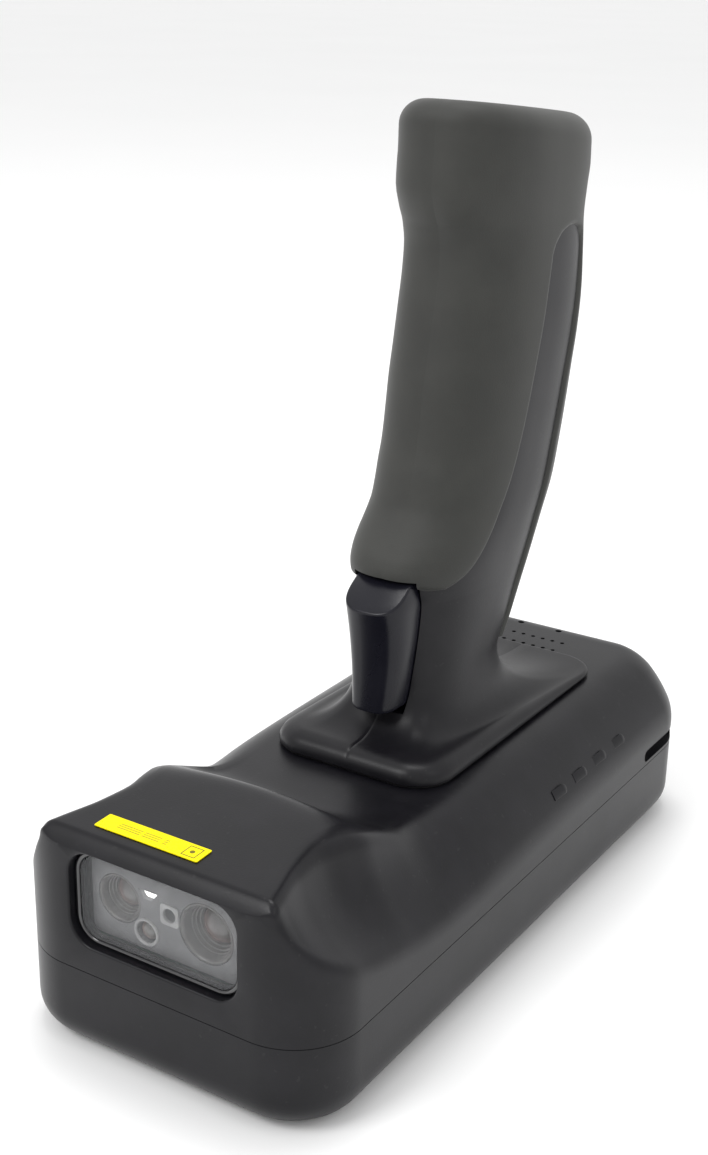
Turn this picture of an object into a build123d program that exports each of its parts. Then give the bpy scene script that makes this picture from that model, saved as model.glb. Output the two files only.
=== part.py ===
from build123d import *
from math import cos, pi, sin
import os

os.makedirs("parts", exist_ok=True)

# A hand-held scan terminal with a pistol grip, lying on its face.
# X is the width, the scan window looks towards -Y, +Z runs up the grip, z = 0 is the resting plane.

# Driving dimensions, in millimetres
width = 70.0
length = 160.0
corner = 14.0           # plan radius of the housing's upright corners
wall = 2.4
parting = 18.1          # height of the split between the two housings
seal_thickness = 0.4
back_height = 37.4      # flat back, behind the scan head
head_height = 46.5
total_height = 166.0
plinth_bottom = 37.8
plinth_top = 42.0
window_y = -78.2        # outer face of the scan window
board_bottom = 8.0
board_thickness = 1.6
running_gap = 0.05

half_width = width / 2
half_length = length / 2
lower_top = parting - seal_thickness / 2
upper_bottom = parting + seal_thickness / 2
board_top = board_bottom + board_thickness
ceiling = back_height - 2.5

# Grip stations: height, front y, back y, half width of the oval there
grip_stations = [
    (41.0, -15.5, 52.5, 17.0),
    (43.0, -11.5, 44.0, 15.0),
    (46.5, -7.5, 36.0, 13.8),
    (52.0, -5.5, 32.0, 13.2),
    (60.0, -5.0, 36.0, 13.4),
    (69.0, -5.0, 42.0, 14.0),
    (77.0, -8.0, 46.0, 14.6),
    (82.0, -6.0, 48.5, 15.0),
    (88.0, 0.5, 51.0, 15.0),
    (98.0, 6.0, 54.0, 15.0),
    (110.0, 8.0, 56.8, 15.0),
    (124.0, 10.8, 59.0, 15.0),
    (138.0, 13.5, 58.5, 15.0),
    (145.0, 10.5, 58.5, 15.0),
    (153.0, 8.5, 60.0, 15.0),
    (160.0, 8.9, 59.7, 15.0),
    (total_height, 9.3, 59.2, 14.8),
]
oval_power = 2.6
oval_points = 24
skin_depth = 1.7        # rubber over the grip's core
panel_inset = 0.8       # bare plastic lies this far below the rubber's surface
grip_wall = 3.5         # from the rubber's surface to the hollow
crown_radius = 5.0
crown_fall = 0.1        # the top of the grip falls this much per millimetre towards the back
crown_start = 6.0       # y where that fall begins

# Fastener places
case_screw_spots = [(x, y) for x in (-22.0, 22.0) for y in (-70.5, 70.5)]
board_screw_spots = [(x, y) for x in (-29.4, 29.4) for y in (-45.0, 45.0)]
plinth_screw_spots = [(x, y) for x in (-15.0, 15.0) for y in (-9.5, 50.0)]
engine_screw_spots = [(-14.5, -56.0), (14.5, -56.0)]
grip_screw_spots = [(20.0, 60.0), (30.0, 86.0), (36.0, 110.0), (42.0, 133.0)]   # y, z

# Trigger
pin_y = 2.0
pin_z = 70.5
pin_radius = 1.45
pin_half_length = 10.0
trigger_half_width = 7.0
spring_y = 12.0
lead_y = -5.0           # where the trigger lead drops to the main board
spring_bottom = 72.2
spring_top = 80.0

# Scan engine
eye_z = 34.8            # height of the two large lenses
eye_x = 9.2
aimer_z = 29.6
chassis_front = -75.6
chassis_back = -62.0

# Face
glass_y = -16.0
key_y = 52.0
key_travel = 0.4


def plan(inset, mode=Mode.ADD):
    """The housing's plan outline, drawn this far inside its edge."""
    RectangleRounded(width - 2 * inset, length - 2 * inset, corner - inset, mode=mode)


def save(part, name):
    part.label = name
    export_step(part, "parts/" + name + ".step")


def screw(radius, head_radius, head_height, shank_length):
    """One screw, head downwards, with its shank pointing up from z = 0."""
    with BuildPart() as fastener:
        Cylinder(radius, shank_length, align=(Align.CENTER, Align.CENTER, Align.MIN))
        Cylinder(head_radius, head_height, align=(Align.CENTER, Align.CENTER, Align.MAX))
        with BuildSketch(Plane.XY.offset(-head_height)):
            Rectangle(head_radius * 1.3, 0.5)
            Rectangle(0.5, head_radius * 1.3)
        extrude(amount=head_height * 0.5, mode=Mode.SUBTRACT)
    return fastener.part


# ---------------------------------------------------------------- lower housing
with BuildPart() as front_housing:
    with BuildSketch():
        plan(0)
    extrude(amount=lower_top)
    fillet(front_housing.faces().sort_by(Axis.Z)[0].edges(), 7)
    with BuildSketch(Plane.XY.offset(lower_top)):
        plan(wall)
    extrude(amount=-(lower_top - 2.6), mode=Mode.SUBTRACT)
    fillet(front_housing.faces().filter_by(Axis.Z).sort_by(Axis.Z)[1].edges().filter_by_position(
        Axis.Z, 2.5, 2.7), 4.6)
    with BuildSketch(Plane.XY.offset(2.0)):
        with Locations(*case_screw_spots):
            Circle(4)
    extrude(amount=lower_top - 2.0)
    with BuildSketch(Plane.XY.offset(2.0)):
        with Locations(*board_screw_spots):
            Circle(2.2)
    extrude(amount=board_bottom - 2.0)
    with BuildSketch():
        with Locations(*case_screw_spots):
            Circle(2.6)
    extrude(amount=5, mode=Mode.SUBTRACT)
    with BuildSketch():
        with Locations(*case_screw_spots):
            Circle(1.4)
    extrude(amount=parting, mode=Mode.SUBTRACT)
    with BuildSketch(Plane.XY.offset(board_bottom)):
        with Locations(*board_screw_spots):
            Circle(1.05)
    extrude(amount=-4.5, mode=Mode.SUBTRACT)
    with BuildSketch():
        with Locations((0, glass_y)):
            RectangleRounded(54.2, 104.2, 3.1)
    extrude(amount=1.7, mode=Mode.SUBTRACT)
    with BuildSketch():
        with Locations((0, glass_y)):
            RectangleRounded(52, 98, 2)
    extrude(amount=2.6, mode=Mode.SUBTRACT)
    with BuildSketch():
        with Locations((0, key_y)):
            RectangleRounded(18.5, 9.5, 4.7)
        with Locations((-18.5, key_y), (18.5, key_y)):
            RectangleRounded(11.5, 8.5, 3.2)
    extrude(amount=2.6, mode=Mode.SUBTRACT)
    with BuildSketch(Plane.XZ.offset(-half_length - 1)):
        with Locations((0, board_top + 1.6)):
            RectangleRounded(9.6, 3.8, 1.8)
    extrude(amount=6, mode=Mode.SUBTRACT)
save(front_housing.part, "front_housing")

# ---------------------------------------------------------------- housing seal
with BuildPart() as housing_seal:
    with BuildSketch(Plane.XY.offset(lower_top)):
        plan(0.8)
        plan(2, Mode.SUBTRACT)
    extrude(amount=seal_thickness)
save(housing_seal.part, "housing_seal")

# ---------------------------------------------------------------- back housing
# Stations along the length: y, crest half width, mid x, mid z, height where the shoulder meets the side
shoulder_stations = [
    (-81.0, 26.0, 26.5, 41.0, 34.0),
    (-76.0, 25.0, 28.0, 39.0, 31.5),
    (-70.0, 23.2, 27.0, 38.0, 31.0),
    (-62.0, 22.0, 26.3, 36.8, 29.0),
    (-54.0, 23.0, 27.0, 36.0, 26.8),
    (-46.0, 24.0, 28.5, 33.5, 25.3),
    (-36.0, 24.2, 29.5, 31.0, 24.2),
    (-20.0, 25.0, 30.2, 31.2, 24.6),
    (20.0, 25.0, 30.4, 31.6, 25.6),
    (81.0, 25.0, 30.4, 31.5, 25.4),
]
over_top = 60.0

with BuildPart() as shoulders:
    for y, crest, mid_x, mid_z, side_z in shoulder_stations:
        lift = (crest - mid_x) / (head_height - mid_z) * (over_top - head_height)
        with BuildSketch(Plane.XZ.offset(-y)):
            with BuildLine():
                right = [(half_width + 1, upper_bottom), (half_width + 1, side_z - 1.0), (half_width, side_z),
                         (mid_x, mid_z), (crest, head_height), (crest + 0.3 * lift, over_top)]
                left = [(-x, z) for x, z in reversed(right)]
                Polyline(*right, *left, close=True)
            make_face()
    loft(ruled=True)

with BuildPart() as back_blank:
    with BuildSketch(Plane.XY.offset(upper_bottom)):
        plan(0)
    extrude(amount=head_height)
    with BuildSketch(Plane.YZ) as side_view:
        with BuildLine():
            Polyline((-half_length, upper_bottom), (-half_length, 45.5), (-46.5, head_height),
                     (-37, back_height), (half_length, back_height), (half_length, upper_bottom), close=True)
        make_face()
        fillet(side_view.vertices().filter_by_position(Axis.X, -81, -79).sort_by(Axis.Y)[-1], 2.4)
        fillet(side_view.vertices().filter_by_position(Axis.X, -47, -46), 8)
        fillet(side_view.vertices().filter_by_position(Axis.X, -38, -36), 12)
        fillet(side_view.vertices().filter_by_position(Axis.X, 79, 81).sort_by(Axis.Y)[-1], 5)
    extrude(amount=half_width + 1, both=True, mode=Mode.INTERSECT)
    add(shoulders.part, mode=Mode.INTERSECT)

# The hollow under the back: a prism that follows the shoulders, trimmed to the plan
with BuildPart() as belly:
    with BuildSketch(Plane.XZ.offset(-half_length)):
        with BuildLine():
            Polyline((-32.6, upper_bottom), (-32.6, 23.2), (-23.2, ceiling), (23.2, ceiling), (32.6, 23.2),
                     (32.6, upper_bottom), close=True)
        make_face()
    extrude(amount=length)
    with BuildSketch(Plane.XY.offset(upper_bottom)):
        plan(wall)
    extrude(amount=head_height, mode=Mode.INTERSECT)

with BuildPart() as back_housing:
    add(back_blank.part)
    add(belly.part, mode=Mode.SUBTRACT)
    # hollow of the scan head, and its window opening
    with BuildSketch(Plane.XY.offset(30)):
        with Locations((0, -63.1)):
            RectangleRounded(39, 26.2, 3)
    extrude(amount=13, mode=Mode.SUBTRACT)
    with BuildSketch(Plane.XZ.offset(half_length + 1)):
        with Locations((0, 33.1)):
            RectangleRounded(37.2, 19, 5)
    extrude(amount=-6, mode=Mode.SUBTRACT)
    # bosses for the case screws and the engine screws
    with BuildSketch(Plane.XY.offset(upper_bottom)):
        with Locations(*case_screw_spots):
            Circle(4)
    extrude(amount=ceiling - upper_bottom + 1)
    with BuildSketch(Plane.XY.offset(40)):
        with Locations(*engine_screw_spots):
            Circle(2.5)
    extrude(amount=3.5)
    with BuildSketch(Plane.XY.offset(upper_bottom)):
        with Locations(*case_screw_spots):
            Circle(1.2)
    extrude(amount=7, mode=Mode.SUBTRACT)
    with BuildSketch(Plane.XY.offset(40)):
        with Locations(*engine_screw_spots):
            Circle(0.95)
    extrude(amount=3, mode=Mode.SUBTRACT)
    # strap slots at both rear sides, each closed by a pocket wall
    with BuildSketch(Plane.XY.offset(upper_bottom)):
        with Locations((-31.2, 61.5), (31.2, 61.5)):
            Rectangle(3.4, 21)
        plan(1, Mode.INTERSECT)
    extrude(amount=6)
    for side in (-1, 1):
        with BuildSketch(Plane.XY.offset(18.9)):
            with Locations((side * 34.5, 62.5)):
                Rectangle(5, 18)
        extrude(amount=3, mode=Mode.SUBTRACT)
    # opening for the trigger lead, plinth screws, speaker and microphone holes
    with BuildSketch(Plane.XY.offset(back_height)):
        with Locations((0, lead_y)):
            RectangleRounded(8, 5, 2)
        with Locations(*plinth_screw_spots):
            Circle(1.25)
        with Locations((0, 64.4)):
            with GridLocations(2.6, 5.1, 6, 2):
                Circle(0.55)
        with Locations((2.3, 73.5), (-7.9, 73.5)):
            Circle(0.8)
    extrude(amount=-4, mode=Mode.SUBTRACT)
save(back_housing.part, "back_housing")

# ---------------------------------------------------------------- scan window and engine
window_z = 33.2
with BuildPart() as window_frame:
    with BuildSketch(Plane.XZ.offset(-window_y)):
        with Locations((0, 33.1)):
            RectangleRounded(37.1, 18.9, 4.95)
    extrude(amount=-2)
    with BuildSketch(Plane.XZ.offset(-window_y)):
        with Locations((0, window_z)):
            RectangleRounded(35.2, 17.4, 4.1)
    extrude(amount=-1.2, mode=Mode.SUBTRACT)
    with BuildSketch(Plane.XZ.offset(-window_y)):
        with Locations((0, window_z)):
            RectangleRounded(33.2, 15.4, 3.2)
    extrude(amount=-3, mode=Mode.SUBTRACT)
save(window_frame.part, "window_frame")

with BuildPart() as scan_window:
    with BuildSketch(Plane.XZ.offset(-window_y)):
        with Locations((0, window_z)):
            RectangleRounded(35.1, 17.3, 4.05)
    extrude(amount=-1.2)
save(scan_window.part, "scan_window")

with BuildPart() as engine_chassis:
    with BuildSketch(Plane.XZ.offset(-chassis_front)):
        with Locations((0, 33.4)):
            RectangleRounded(34, 18, 2)
    extrude(amount=chassis_front - chassis_back)
    with BuildSketch(Plane.XZ.offset(-chassis_front)):
        with Locations((-eye_x, eye_z), (eye_x, eye_z)):
            Circle(6.1)
    extrude(amount=-11, mode=Mode.SUBTRACT)
    with BuildSketch(Plane.XZ.offset(-chassis_front)):
        with Locations((0, aimer_z)):
            Circle(2.2)
        with Locations((3.0, 37.2)):
            Circle(1.2)
    extrude(amount=-8, mode=Mode.SUBTRACT)
    with BuildSketch(Plane.XZ.offset(-chassis_front)):
        with BuildLine():
            Polyline((-3.2, 39.6), (1.2, 39.6), (0.4, 36.2), (-2.2, 36.2), close=True)
        make_face()
    extrude(amount=-6, mode=Mode.SUBTRACT)
    with BuildSketch(Plane.XY.offset(38)):
        with Locations((-14.5, -57.5), (14.5, -57.5)):
            Rectangle(5, 9.2)
        with Locations(*engine_screw_spots):
            Circle(1.0, mode=Mode.SUBTRACT)
    extrude(amount=2)
save(engine_chassis.part, "engine_chassis")

for side, name in ((-1, "left"), (1, "right")):
    eye = (side * eye_x, eye_z)
    with BuildPart() as lens_barrel:
        with BuildSketch(Plane.XZ.offset(-chassis_front)):
            with Locations(eye):
                Circle(6.05)
        extrude(amount=-10)
        with BuildSketch(Plane.XZ.offset(-chassis_front)):
            with Locations(eye):
                Circle(5.3)
        extrude(amount=-3, mode=Mode.SUBTRACT)
        with BuildSketch(Plane.XZ.offset(-chassis_front)):
            with Locations(eye):
                Circle(4.0)
        extrude(amount=-8, mode=Mode.SUBTRACT)
    save(lens_barrel.part, name + "_lens_barrel")
    with BuildPart() as lens:
        with BuildSketch(Plane.XZ.offset(-chassis_front - 4)):
            with Locations(eye):
                Circle(3.95)
        extrude(amount=-2.5)
        fillet(lens.edges().sort_by(Axis.Y)[0], 1.2)
    save(lens.part, name + "_lens")

with BuildPart() as aimer_lens:
    with BuildSketch(Plane.XZ.offset(-chassis_front - 0.4)):
        with Locations((0, aimer_z)):
            Circle(2.15)
    extrude(amount=-4)
    fillet(aimer_lens.edges().sort_by(Axis.Y)[0], 0.9)
save(aimer_lens.part, "aimer_lens")

with BuildPart() as illumination_led:
    with BuildSketch(Plane.XZ.offset(-chassis_front - 3.5)):
        with Locations((-1.0, 37.7)):
            Rectangle(1.8, 1.6)
    extrude(amount=-2.4)
save(illumination_led.part, "illumination_led")

with BuildPart() as engine_board:
    with BuildSketch(Plane.XZ.offset(-chassis_back)):
        with Locations((0, 31.4)):
            Rectangle(32, 13)
    extrude(amount=-1.2)
save(engine_board.part, "engine_board")

with BuildPart() as engine_ribbon:
    with BuildSketch(Plane.YZ.offset(-4)):
        with BuildLine():
            FilletPolyline((-60.6, 31), (-60.6, 11.2), (-50.2, 11.2), radius=3)
            offset(amount=0.15, side=Side.BOTH)
        make_face()
    extrude(amount=8)
save(engine_ribbon.part, "engine_ribbon")

with BuildPart() as engine_screws:
    for x, y in engine_screw_spots:
        add(Pos(x, y, 38) * screw(0.9, 1.8, 1.2, 4.6))
save(engine_screws.part, "engine_screws")

with BuildPart() as warning_label:
    with BuildSketch(Plane(origin=(-4.8, -72.9, 45.75), x_dir=(1, 0, 0), z_dir=(0, -0.02985, 0.99955))):
        RectangleRounded(23, 4.5, 0.3)
    extrude(amount=0.15)
save(warning_label.part, "warning_label")

# ---------------------------------------------------------------- face
with BuildPart() as touch_glass:
    with BuildSketch(Plane.XY.offset(0.5)):
        with Locations((0, glass_y)):
            RectangleRounded(54, 104, 3)
    extrude(amount=1.2)
save(touch_glass.part, "touch_glass")

with BuildPart() as display_panel:
    with BuildSketch(Plane.XY.offset(1.75)):
        with Locations((0, glass_y)):
            RectangleRounded(50.8, 96.8, 1)
    extrude(amount=2.6)
save(display_panel.part, "display_panel")

for name, x, across, along, radius in (("scan_key", 0, 18, 9, 4.45), ("menu_key", -18.5, 11, 8, 3),
                                       ("power_key", 18.5, 11, 8, 3)):
    with BuildPart() as key:
        with BuildSketch(Plane.XY.offset(0.5)):
            with Locations((x, key_y)):
                RectangleRounded(across, along, radius)
        extrude(amount=2.3)
        with BuildSketch(Plane.XY.offset(2.7)):
            with Locations((x, key_y)):
                RectangleRounded(across + 2, along + 2, radius + 0.5)
        extrude(amount=0.8)
        fillet(key.faces().sort_by(Axis.Z)[0].edges(), 0.4)
    save(key.part, name)

with BuildPart() as key_switches:
    with BuildSketch(Plane.XY.offset(5.2)):
        with Locations((0, key_y), (-18.5, key_y), (18.5, key_y)):
            RectangleRounded(5, 5, 0.5)
    extrude(amount=board_bottom - 5.2)
    with BuildSketch(Plane.XY.offset(3.95)):
        with Locations((0, key_y), (-18.5, key_y), (18.5, key_y)):
            Circle(1.4)
    extrude(amount=1.25)
save(key_switches.part, "key_switches")

# ---------------------------------------------------------------- electronics
with BuildPart() as main_board:
    with BuildSketch(Plane.XY.offset(board_bottom)):
        RectangleRounded(63, 130, 3)
        with Locations((0, 69)):
            Rectangle(28, 10)
        with Locations(*board_screw_spots):
            Circle(1.05, mode=Mode.SUBTRACT)
    extrude(amount=board_thickness)
save(main_board.part, "main_board")

with BuildPart() as shield_cans:
    with BuildSketch(Plane.XY.offset(board_top)):
        with Locations((-14, 21)):
            RectangleRounded(24, 26, 1)
        with Locations((15, -27)):
            RectangleRounded(22, 28, 1)
    extrude(amount=2.2)
save(shield_cans.part, "shield_cans")

with BuildPart() as board_connectors:
    with BuildSketch(Plane.XY.offset(board_top)):
        with Locations((0, -48)):
            Rectangle(10, 4)
        with Locations((0, lead_y)):
            Rectangle(6, 4)
    extrude(amount=2.4)
save(board_connectors.part, "board_connectors")

with BuildPart() as board_screws:
    for x, y in board_screw_spots:
        add(Pos(x, y, board_top) * Rot(180, 0, 0) * screw(1.0, 1.9, 1.3, 5.6))
save(board_screws.part, "board_screws")

with BuildPart() as charge_socket:
    with BuildSketch(Plane.XZ.offset(-70)):
        with Locations((0, board_top + 1.6)):
            RectangleRounded(9.0, 3.2, 1.5)
    extrude(amount=-9.6)
    with BuildSketch(Plane.XZ.offset(-79.6)):
        with Locations((0, board_top + 1.6)):
            RectangleRounded(8.4, 2.6, 1.25)
    extrude(amount=7, mode=Mode.SUBTRACT)
    with BuildSketch(Plane.XZ.offset(-78.6)):
        with Locations((0, board_top + 1.6)):
            Rectangle(6.7, 0.7)
    extrude(amount=6.2)
save(charge_socket.part, "charge_socket")

with BuildPart() as battery_pack:
    with BuildSketch(Plane.XY.offset(23.4)):
        with Locations((0, 22)):
            RectangleRounded(40, 48, 4)
    extrude(amount=ceiling - 23.5)
    fillet(battery_pack.edges().group_by(Axis.Z)[-1], 1.5)
save(battery_pack.part, "battery_pack")

with BuildPart() as speaker:
    with BuildSketch(Plane.XY.offset(31)):
        with Locations((0, 64.4)):
            Circle(8.5)
    extrude(amount=ceiling - 31.1)
    with BuildSketch(Plane.XY.offset(ceiling - 0.1)):
        with Locations((0, 64.4)):
            Circle(7.2)
    extrude(amount=-1.2, mode=Mode.SUBTRACT)
save(speaker.part, "speaker")

with BuildPart() as case_screws:
    for x, y in case_screw_spots:
        add(Pos(x, y, 5) * screw(1.15, 2.3, 1.8, 19))
save(case_screws.part, "case_screws")

# ---------------------------------------------------------------- grip


def grip_loft(inset):
    """The grip's outer form, drawn this far inside its surface."""
    with BuildPart() as grip:
        for height, front, back, side in grip_stations:
            middle = (front + back) / 2
            deep = (back - front) / 2 - inset
            across = side - inset
            level = min(height, total_height - inset)
            turns = [2 * pi * n / oval_points for n in range(oval_points)]
            outline = [
                (across * abs(cos(t)) ** (2 / oval_power) * (1 if cos(t) > 0 else -1),
                 middle + deep * abs(sin(t)) ** (2 / oval_power) * (1 if sin(t) > 0 else -1))
                for t in turns
            ]
            with BuildSketch(Plane.XY.offset(level)):
                with BuildLine():
                    Spline(*outline, periodic=True)
                make_face()
        loft()
        top = total_height - inset
        with BuildSketch(Plane.YZ):
            with BuildLine():
                Polyline((crown_start, top), (crown_start + 100, top - 100 * crown_fall),
                         (crown_start + 100, top + 5), (crown_start, top + 5), close=True)
            make_face()
        extrude(amount=width / 2, both=True, mode=Mode.SUBTRACT)
        fillet(grip.faces().sort_by(Axis.Z)[-1].edges(), crown_radius - inset)
    return grip.part


outer_form = grip_loft(0)
panel_form = grip_loft(panel_inset)
core_form = grip_loft(skin_depth)
hollow_form = grip_loft(grip_wall)

# Bare plastic in side view: the neck, and an arched panel up each side of the grip
with BuildPart() as bare_zone:
    with BuildSketch(Plane.YZ):
        with BuildLine():
            Line((-30, 73.4), (-2, 73.4))
            Spline((-2, 73.4), (11.4, 79.5), (21.8, 95), (28, 114), (33, 134), tangents=((1, 0), (0.15, 1)))
            ThreePointArc((33, 134), (41, 140.4), (51, 133.5))
            Spline((51, 133.5), (42, 101), (35, 79), (27, 60), tangents=((0.1, -1), (-0.2, -1)))
            Polyline((27, 60), (26.5, 53), (70, 53), (70, 30), (-30, 30), (-30, 73.4))
        make_face()
    extrude(amount=width / 2, both=True)

# What stays solid inside the hollow grip: screw bosses, spring seat and switch rib
with BuildPart() as grip_insides:
    with BuildSketch(Plane.YZ):
        with Locations(*grip_screw_spots):
            Circle(3.6)
    extrude(amount=16, both=True)
    with BuildSketch(Plane.YZ):
        with Locations((spring_y, spring_top + 1)):
            Rectangle(9, 2)
        with Locations((16, 57)):
            Rectangle(2, 14)
    extrude(amount=16, both=True)

with BuildPart() as trigger_bay:
    with BuildSketch(Plane.YZ):
        with BuildLine():
            Polyline((-30, 45), (9.5, 45), (9.5, 73.8), (-4, 75), (-30, 75), close=True)
        make_face()
    extrude(amount=trigger_half_width + 0.4, both=True)

with BuildPart() as skin_form:
    add(outer_form)
    add(trigger_bay.part, mode=Mode.SUBTRACT)
    add(bare_zone.part, mode=Mode.SUBTRACT)
    add(core_form, mode=Mode.SUBTRACT)

with BuildPart() as skin_room:
    add(panel_form)
    add(bare_zone.part, mode=Mode.SUBTRACT)
    add(core_form, mode=Mode.SUBTRACT)

with BuildPart() as grip_hollow:
    add(hollow_form)
    add(grip_insides.part, mode=Mode.SUBTRACT)

with BuildPart() as handle_blank:
    with BuildSketch(Plane.XY.offset(plinth_bottom)):
        with Locations((0, 20.15)):
            RectangleRounded(40.6, 77.7, 9)
    extrude(amount=plinth_top - plinth_bottom)
    fillet(handle_blank.faces().sort_by(Axis.Z)[-1].edges(), 2.5)
    add(panel_form)
    add(skin_room.part, mode=Mode.SUBTRACT)
    add(grip_hollow.part, mode=Mode.SUBTRACT)
    # the hollow's mouth through the plinth
    with BuildSketch(Plane.XY.offset(41)):
        with Locations((0, 16)):
            RectangleRounded(24, 48, 6)
    extrude(amount=-5, mode=Mode.SUBTRACT)
    with BuildSketch(Plane.XY.offset(plinth_bottom)):
        with Locations(*plinth_screw_spots):
            Circle(1.2)
    extrude(amount=3.3, mode=Mode.SUBTRACT)
    add(trigger_bay.part, mode=Mode.SUBTRACT)
    with BuildSketch(Plane.YZ):
        with Locations((pin_y, pin_z)):
            Circle(pin_radius + 0.02)
    extrude(amount=pin_half_length + 0.1, both=True, mode=Mode.SUBTRACT)
    with BuildSketch(Plane.YZ):
        with Locations(*grip_screw_spots):
            Circle(1.2)
    extrude(amount=9, both=True, mode=Mode.SUBTRACT)

with BuildPart() as right_handle_shell:
    add(handle_blank.part)
    split(bisect_by=Plane.YZ, keep=Keep.TOP)
save(right_handle_shell.part, "right_handle_shell")

with BuildPart() as left_handle_shell:
    add(handle_blank.part)
    split(bisect_by=Plane.YZ, keep=Keep.BOTTOM)
    with BuildSketch(Plane.YZ.offset(-7.5)):
        with Locations(*grip_screw_spots):
            Circle(2.6)
    extrude(amount=-12, mode=Mode.SUBTRACT)
save(left_handle_shell.part, "left_handle_shell")

with BuildPart() as right_grip_skin:
    add(skin_form.part)
    split(bisect_by=Plane.YZ, keep=Keep.TOP)
save(right_grip_skin.part, "right_grip_skin")

with BuildPart() as left_grip_skin:
    add(skin_form.part)
    split(bisect_by=Plane.YZ, keep=Keep.BOTTOM)
save(left_grip_skin.part, "left_grip_skin")

with BuildPart() as handle_screws:
    for y, z in grip_screw_spots:
        add(Pos(-7.5, y, z) * Rot(0, 90, 0) * screw(1.15, 2.3, 1.8, 15))
save(handle_screws.part, "handle_screws")

with BuildPart() as plinth_screws:
    for x, y in plinth_screw_spots:
        add(Pos(x, y, ceiling) * screw(1.15, 2.2, 1.6, 6))
save(plinth_screws.part, "plinth_screws")

with BuildPart() as plinth_gasket:
    with BuildSketch(Plane.XY.offset(back_height)):
        with Locations((0, 20.15)):
            RectangleRounded(39.2, 76.3, 8.3)
        with Locations((0, 16)):
            RectangleRounded(25, 49, 6, mode=Mode.SUBTRACT)
        with Locations(*plinth_screw_spots):
            Circle(1.25, mode=Mode.SUBTRACT)
    extrude(amount=plinth_bottom - back_height)
save(plinth_gasket.part, "plinth_gasket")

# ---------------------------------------------------------------- trigger
with BuildPart() as trigger:
    with BuildSketch(Plane.YZ) as trigger_side:
        with BuildLine():
            Polyline((-4.4, 74.2), (-9.6, 70.0), (-9.4, 68.0))
            Spline((-9.4, 68.0), (-8.4, 60), (-8.6, 52), (-8.2, 47.2))
            Polyline((-8.2, 47.2), (-6.5, 45.6), (0, 45.6), (4.6, 48.5), (4.8, 66.0), (14.8, 67.0), (14.8, 72.0),
                     (5.0, 73.0), (2.0, 74.2), (-4.4, 74.2))
        make_face()
    extrude(amount=trigger_half_width, both=True)
    # narrower towards the tip, with the rear arm slimmer still
    with BuildSketch(Plane.XZ.offset(-20)):
        with BuildLine():
            Polyline((-5.2, 45), (-7, 66), (-7, 75), (7, 75), (7, 66), (5.2, 45), close=True)
        make_face()
    extrude(amount=40, mode=Mode.INTERSECT)
    for side in (-1, 1):
        with BuildSketch(Plane.XY.offset(60)):
            with Locations((side * 6.5, 12.6)):
                Rectangle(5, 14)
        extrude(amount=20, mode=Mode.SUBTRACT)
    with BuildSketch(Plane.YZ):
        with Locations((pin_y, pin_z)):
            Circle(pin_radius + running_gap)
    extrude(amount=20, both=True, mode=Mode.SUBTRACT)
save(trigger.part, "trigger")

with BuildPart() as trigger_pin:
    with BuildSketch(Plane.YZ):
        with Locations((pin_y, pin_z)):
            Circle(pin_radius)
    extrude(amount=pin_half_length, both=True)
    chamfer(trigger_pin.edges().filter_by(GeomType.CIRCLE), 0.3)
save(trigger_pin.part, "trigger_pin")

spring_wire = 0.35
with BuildPart() as trigger_spring:
    with BuildLine() as coil:
        Helix(pitch=1.18, height=spring_top - spring_bottom - 2 * spring_wire - 0.1, radius=2.3,
              center=(0, spring_y, spring_bottom + spring_wire + 0.05))
    with BuildSketch(Plane(origin=coil.line @ 0, z_dir=coil.line % 0)):
        Circle(spring_wire)
    sweep()
save(trigger_spring.part, "trigger_spring")

with BuildPart() as trigger_switch:
    with BuildSketch(Plane.XY.offset(51.5)):
        with Locations((0, 11.9)):
            Rectangle(6.4, 6)
    extrude(amount=10)
    with BuildSketch(Plane.XZ.offset(-8.9)):
        with Locations((0, 58)):
            RectangleRounded(2, 3, 0.4)
    extrude(amount=1.4)
save(trigger_switch.part, "trigger_switch")

with BuildPart() as trigger_lead:
    with BuildLine() as lead_path:
        FilletPolyline((0, 12, 51.4), (0, 12, 44.5), (0, lead_y, 42), (0, lead_y, 12.1), radius=4)
    with BuildSketch(Plane(origin=lead_path.line @ 0, z_dir=lead_path.line % 0)):
        Circle(0.9)
    sweep()
save(trigger_lead.part, "trigger_lead")
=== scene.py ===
import math

import bmesh
import bpy
import numpy as np
from mathutils import Matrix, Vector


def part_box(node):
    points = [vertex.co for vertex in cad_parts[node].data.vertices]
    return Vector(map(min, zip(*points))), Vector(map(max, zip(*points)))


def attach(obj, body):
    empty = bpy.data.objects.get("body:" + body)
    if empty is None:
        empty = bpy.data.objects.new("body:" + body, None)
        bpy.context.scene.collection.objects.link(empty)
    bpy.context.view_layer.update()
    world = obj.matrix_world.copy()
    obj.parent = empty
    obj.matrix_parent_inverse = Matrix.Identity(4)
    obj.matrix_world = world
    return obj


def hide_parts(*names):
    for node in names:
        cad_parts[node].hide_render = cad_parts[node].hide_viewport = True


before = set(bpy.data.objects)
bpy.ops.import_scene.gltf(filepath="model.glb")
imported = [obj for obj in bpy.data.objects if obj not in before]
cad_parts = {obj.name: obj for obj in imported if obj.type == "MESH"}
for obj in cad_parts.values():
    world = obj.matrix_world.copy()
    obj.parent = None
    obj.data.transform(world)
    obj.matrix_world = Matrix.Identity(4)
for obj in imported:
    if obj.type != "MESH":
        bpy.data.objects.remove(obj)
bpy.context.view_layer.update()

mm = 0.001
body = "scanner_body"


def smooth(edge0, edge1, value):
    t = np.clip((value - edge0) / (edge1 - edge0), 0, 1)
    return t * t * (3 - 2 * t)


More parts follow.
